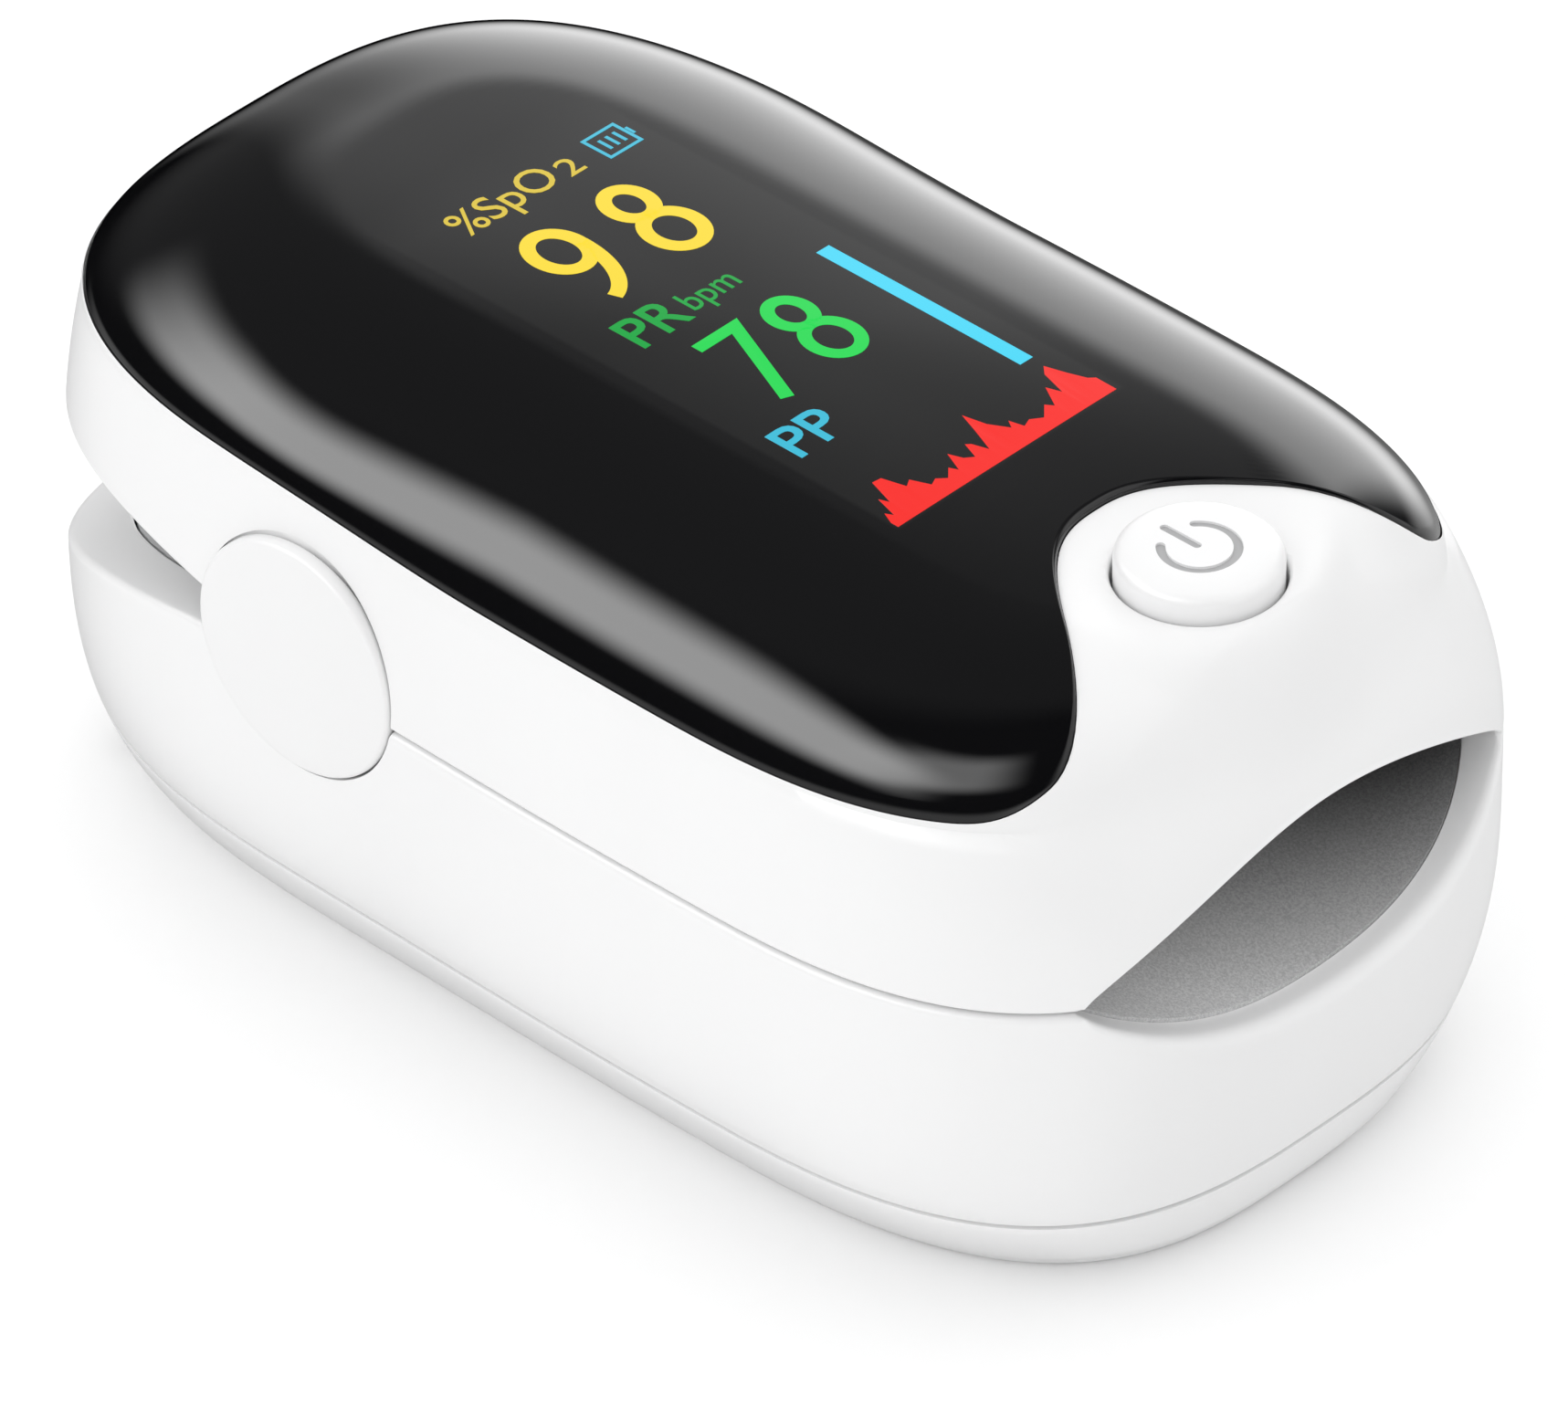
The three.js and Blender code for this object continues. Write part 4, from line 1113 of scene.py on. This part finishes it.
CHANNEL_END, END_RUN, END_POWER = -7.2, 11.0, 0.55
CHANNEL_HALF, CHANNEL_BELOW, CHANNEL_ABOVE = 10.6, 2.0, 3.3
FLARE, FLARE_FROM = 0.05, 4
PAD_SKIN, PAD_GAP = 0.9, 0.05
MOUTH_BLEND = 9.0


def channel_at(x):
    """Half width and the two heights of the finger channel, which closes at its inner end."""
    end = np.sqrt(1 - (1 - np.clip((x - CHANNEL_END) / END_RUN, 0, 1)) ** 2)
    half = (CHANNEL_HALF + FLARE * np.clip(x - FLARE_FROM, 0, None)) * end
    return half, CHANNEL_BELOW * end**END_POWER, CHANNEL_ABOVE * end**END_POWER


def wall_x(y, z, inset):
    """How far forward the inside of the wall is at a height and a distance from the middle."""
    front, _, side = plan_size(z)
    cap = FRONT_CAP - inset
    share = np.clip(np.abs(y) / (side - inset), 0, 0.999)
    return front - inset - cap + cap * (1 - share**OUTLINE_POWER) ** (1 / OUTLINE_POWER)


def trough_line(turn, depth, sign, growth):
    """A line across one pad, from depth 0 at the mouth's wall to depth 1 at the channel's end."""
    s, c = np.sin(turn), np.cos(turn)
    mouth_width = MOUTH_HALF_WIDTH - 0.1 + growth
    mouth_depth = (MOUTH_RISE if sign > 0 else MOUTH_DIP) - 0.1
    mouth_z = (mouth_depth + growth) * mouth_share(np.abs(s))
    front = wall_x(mouth_width * s, PARTING + sign * mouth_z, WALL - 0.02)
    x = front + (CHANNEL_END - front) * depth
    half, below, above = channel_at(x)
    inner_z = ((above if sign > 0 else below) + growth) * c
    near = smooth_step(1 - (front - x) / MOUTH_BLEND)
    y = s * (near * mouth_width + (1 - near) * (half + growth))
    z = near * mouth_z + (1 - near) * inner_z
    return row(x, y, PARTING + sign * np.maximum(z, PAD_GAP))


def finger_pad(name, node, body, sign):
    """One silicone pad: a smooth trough from the mouth inwards, with an even skin."""
    turns = np.linspace(-np.pi / 2, np.pi / 2, 61)
    count = len(turns)
    rows = []
    for depth in np.linspace(0, 1, 60):
        inner = trough_line(turns, depth, sign, 0.0)
        outer = trough_line(turns[::-1], depth, sign, PAD_SKIN)
        rows.append(np.vstack([inner, outer]))
    faces = grid_faces(len(rows), 2 * count)
    for start in (0, (len(rows) - 1) * 2 * count):
        for i in range(count - 1):
            far = 2 * count - 1 - i
            faces.append((start + i, start + i + 1, start + far - 1, start + far))
    made = piece(name, np.vstack(rows), faces, 50)
    finish(made, body, "grey_silicone", SILICONE, node)


def film_cable():
    """The film cable that crosses the hinge: a flat strip with one fixed bend."""
    lower, upper = low("flex_cable"), high("flex_cable")
    thick, bend = 0.2, 1.2
    inside = ribbon_path(lower.x + thick, upper.x, lower.z + thick, upper.z, bend - thick)
    outside = ribbon_path(lower.x, upper.x, lower.z, upper.z, bend)
    rows = []
    for (x0, z0), (x1, z1) in zip(outside, inside):
        rows.append([(x0, lower.y, z0), (x0, upper.y, z0), (x1, upper.y, z1), (x1, lower.y, z1)])
    made = capped_solid("cable_smooth", rows, 50)
    made.data.materials.append(FILM)
    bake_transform(made)
    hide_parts("flex_cable")


def ribbon_path(rear, front, bottom, top, bend):
    """An L-shaped line in the middle plane: along the bottom, round a bend and up to the top."""
    along = [(x, bottom) for x in np.linspace(front, rear + bend, 8)]
    round_bend = arc(rear + bend, bottom + bend, bend, -90, -180, 9)[1:]
    up = [(rear, z) for z in np.linspace(bottom + bend, top, 14)[1:]]
    return along + round_bend + up


# ---- frames and inner parts

def both(name):
    return [f"{name}_left", f"{name}_right"]


def dress_inner_nodes():
    """Better materials for the CAD nodes whose shape is already right."""
    screws = both("base_screw") + both("upper_screw")
    contacts = ["bridge_contact", *both("end_contact")]
    for look, names in (
        (
            moulded_plastic("frame_grey", (0.52, 0.525, 0.53), 0.5, 0.000008),
            ["upper_inner_frame", "lower_inner_frame"],
        ),
        (clear_epoxy(), ["led_window", "sensor_window"]),
        (lens_black_panel(), ["display_panel"]),
        (black_foam(), ["display_foam"]),
        (FILM, ["display_ribbon"]),
        (circuit_board_green(), ["main_board", "led_board", "sensor_board"]),
        (
            moulded_plastic("chip_black", (0.02, 0.02, 0.022), 0.55, 0.00001),
            ["processor_chip", "analog_chip", "buzzer", "photodiode"],
        ),
        (moulded_plastic("emitter_cream", (0.75, 0.72, 0.62), 0.4), ["led_emitter"]),
        (
            drawn_metal("steel", (0.62, 0.63, 0.64), 0.3),
            ["button_switch", *both("hinge_pin"), *contacts, *screws],
        ),
        (
            drawn_metal("spring_wire", (0.5, 0.51, 0.53), 0.25),
            both("contact_spring") + both("hinge_spring"),
        ),
        (cell_jacket(), both("battery")),
    ):
        for name in names:
            materials = nodes[name].data.materials
            materials.clear()
            materials.append(look)


# ---- studio

CAMERA_AZIMUTH, CAMERA_ELEVATION, CAMERA_ROLL = 43.555, 36.983, -0.2
CAMERA_DISTANCE = 710.625
CAMERA_LENS = 393.3
TARGET_SIDE, TARGET_UP, TARGET_HEIGHT = 0.472, -4.037, 14.0


def camera():
    """The photo's view: a long lens from above the near front corner."""
    a, e = math.radians(CAMERA_AZIMUTH), math.radians(CAMERA_ELEVATION)
    back = Vector((math.sin(a) * math.cos(e), -math.cos(a) * math.cos(e), math.sin(e)))
    level = Vector((math.cos(a), math.sin(a), 0))
    up = back.cross(level)
    r = math.radians(CAMERA_ROLL)
    side = level * math.cos(r) + up * math.sin(r)
    raised = up * math.cos(r) - level * math.sin(r)
    target = Vector((0, 0, TARGET_HEIGHT)) + side * TARGET_SIDE + raised * TARGET_UP
    data = bpy.data.cameras.new("studio_camera")
    data.lens = CAMERA_LENS
    data.sensor_width = 36
    data.clip_start = 0.01
    made = shown("studio_camera", data)
    axes = Matrix((side, raised, back)).transposed()
    made.matrix_world = Matrix.Translation((target + back * CAMERA_DISTANCE) * MM) @ axes.to_4x4()
    bpy.context.scene.camera = made


def floor():
    """A wide round floor, which glossy surfaces don't mirror."""
    count, reach = 64, 4000 * MM
    rim = arc(0, 0, reach, 0, 360, count + 1)[:-1]
    mesh = bpy.data.meshes.new("studio_floor")
    faces = [(0, 1 + i, 1 + (i + 1) % count) for i in range(count)]
    mesh.from_pydata([(0, 0, 0)] + [(x, y, 0) for x, y in rim], [], faces)
    mesh.materials.append(floor_white())
    made = shown("studio_floor", mesh)
    made.visible_glossy = False


def heading(azimuth, elevation=0.0):
    """A direction from its azimuth and elevation in degrees."""
    a, e = math.radians(azimuth), math.radians(elevation)
    return Vector((math.cos(a) * math.cos(e), math.sin(a) * math.cos(e), math.sin(e)))


class Sky(NodeCalls):
    """Builds the room's brightness from soft patches, each placed by azimuth and elevation in degrees."""

    def __init__(self, world):
        super().__init__(world.node_tree)
        unit = self.node("VectorMath", Vector=self.node("TexCoord").outputs["Generated"])
        unit.operation = "NORMALIZE"
        self.direction = unit.outputs[0]
        split = self.node("SeparateXYZ", Vector=self.direction)
        self.elevation = self.math("ARCSINE", split.outputs["Z"])
        self.total = 0.0

    def towards(self, direction):
        """Share of the looked-at direction that points along another one."""
        made = self.node("VectorMath")
        made.operation = "DOT_PRODUCT"
        self.feed(made.inputs[0], self.direction)
        self.feed(made.inputs[1], direction)
        return made.outputs["Value"]

    def fade(self, value, full, none):
        """1 up to full, falling smoothly to 0 at none."""
        return self.span(value, none, full, curve="SMOOTHSTEP")

    def add(self, level, *shares):
        """Adds a light whose strength is a level times all its shares."""
        for share in shares:
            level = self.math("MULTIPLY", share, level)
        self.total = self.math("ADD", self.total, level)

    def patch(self, azimuth, elevation, level):
        """A patch of light. Azimuth and elevation are each (centre, full half width, faded half width)."""
        centre_turn, *turns = azimuth
        centre_rise, *rises = [math.radians(value) for value in elevation]
        aside, ahead = self.towards(heading(centre_turn + 90)), self.towards(heading(centre_turn))
        turned_by = self.math("ABSOLUTE", self.math("ARCTAN2", aside, ahead))
        raised_by = self.math("ABSOLUTE", self.math("SUBTRACT", self.elevation, centre_rise))
        turns = [math.radians(value) for value in turns]
        self.add(level, self.fade(turned_by, *turns), self.fade(raised_by, *rises))

    def cap(self, azimuth, elevation, full, faded, level):
        """A round patch of light, even out to one angle from its centre and gone at another."""
        near = self.towards(heading(azimuth, elevation))
        self.add(level, self.fade(near, math.cos(math.radians(full)), math.cos(math.radians(faded))))

    def strip(self, azimuth, elevation, half_length, half_width, level):
        """A straight horizontal bar of light, with soft edges, centred on a direction."""
        middle, along = heading(azimuth, elevation), heading(azimuth + 90)
        length = self.math("ABSOLUTE", self.towards(along))
        width = self.math("ABSOLUTE", self.towards(middle.cross(along)))
        facing = self.fade(self.towards(middle), 0.3, 0.1)
        ends = self.fade(length, half_length * 0.27, half_length * 1.08)
        edges = self.fade(width, half_width * 0.35, half_width * 1.6)
        self.add(level, ends, edges, facing)


def studio_light():
    """A room of soft shapes for the glossy parts to mirror, and wide soft lights for the rest."""
    world = bpy.data.worlds.new("studio_room")
    world.use_nodes = True
    bpy.context.scene.world = world
    world.cycles_visibility.diffuse = False
    sky = Sky(world)
    sky.cap(128, 50, 46, 64, ROOM_DIM)
    sky.patch((35, 30, 58), (32, 24, 44), ROOM_KEY)
    sky.patch((121, 10, 28), (8, 16, 32), ROOM_GLOW)
    sky.strip(-129, 38.5, 0.74, 0.14, ROOM_STRIP)
    sky.patch((-78, 10, 38), (38.5, 5, 14), ROOM_TAIL)
    sky.patch((-95, 60, 95), (-50, 42, 52), ROOM_BELOW)
    sky.patch((40, 60, 95), (-50, 42, 52), ROOM_BELOW)
    background = world.node_tree.nodes["Background"]
    sky.fill(background, Color=(1, 1, 1, 1), Strength=sky.total)
    for name, azimuth, elevation, spread, strength in SOFT_LIGHTS:
        soft_light(name, azimuth, elevation, spread, strength)


def soft_light(name, azimuth, elevation, spread, strength):
    """A very wide light from one direction, which lights surfaces but isn't mirrored by them."""
    data = bpy.data.lights.new(name, "SUN")
    data.angle = math.radians(spread)
    data.energy = strength
    made = shown(name, data)
    made.visible_glossy = False
    made.rotation_euler = (0, math.radians(90 - elevation), math.radians(azimuth))


ROOM_DIM, ROOM_KEY, ROOM_GLOW, ROOM_STRIP, ROOM_TAIL, ROOM_BELOW = 0.13, 1.1, 2.4, 7.0, 2.8, 0.8
SOFT_LIGHTS = (
    ("light_dome", -125, 85, 162, 2.85),
    ("light_fill", -108, 5, 100, 0.95),
    ("light_back", 95, 62, 70, 0.65),
)


# ---- assembly

SHELL_WHITE = moulded_plastic("shell_white", (0.865, 0.865, 0.867), 0.36, 0.000003)
CAP_WHITE = moulded_plastic("cap_white", (0.85, 0.85, 0.852), 0.4, 0.000003)
BUTTON_WHITE = moulded_plastic("button_white", (0.87, 0.87, 0.872), 0.32, 0.000003)
# grey for the power sign's grooves: painted shade
SIGN_SHADE_GREY = moulded_plastic("sign_groove_shade", (0.42, 0.42, 0.425), 0.5)
LENS_BLACK = lens_black()
# the first tone is painted shade deep in the channel, the second is painted light at the mouth
SILICONE = silicone_grey("silicone_grey", (0.07, 0.07, 0.071), (0.5, 0.5, 0.505))
FILM = film_amber()
INKS = {
    name: glowing(f"ink_{name}", color, strength)
    for name, color, strength in (
        ("yellow", (0.95, 0.72, 0.04), 0.95),
        ("green", (0.015, 0.70, 0.09), 0.95),
        ("cyan", (0.06, 0.68, 0.92), 0.95),
        ("yellow_soft", (0.9, 0.68, 0.06), 0.75),
        ("green_soft", (0.015, 0.60, 0.09), 0.6),
        ("cyan_soft", (0.06, 0.6, 0.82), 0.8),
        ("red", (0.95, 0.03, 0.025), 0.95),
    )
}

bpy.context.scene.view_settings.view_transform = "Standard"
camera()
floor()
studio_light()
upper_case()
lower_case()
base_shell()
battery_door()
display_window()
display_marks()
power_key()
hinge_cap(1, "left")
hinge_cap(-1, "right")
finger_pad("pad_upper_smooth", "upper_pad", "upper", 1)
finger_pad("pad_lower_smooth", "lower_pad", "lower", -1)
film_cable()
dress_inner_nodes()
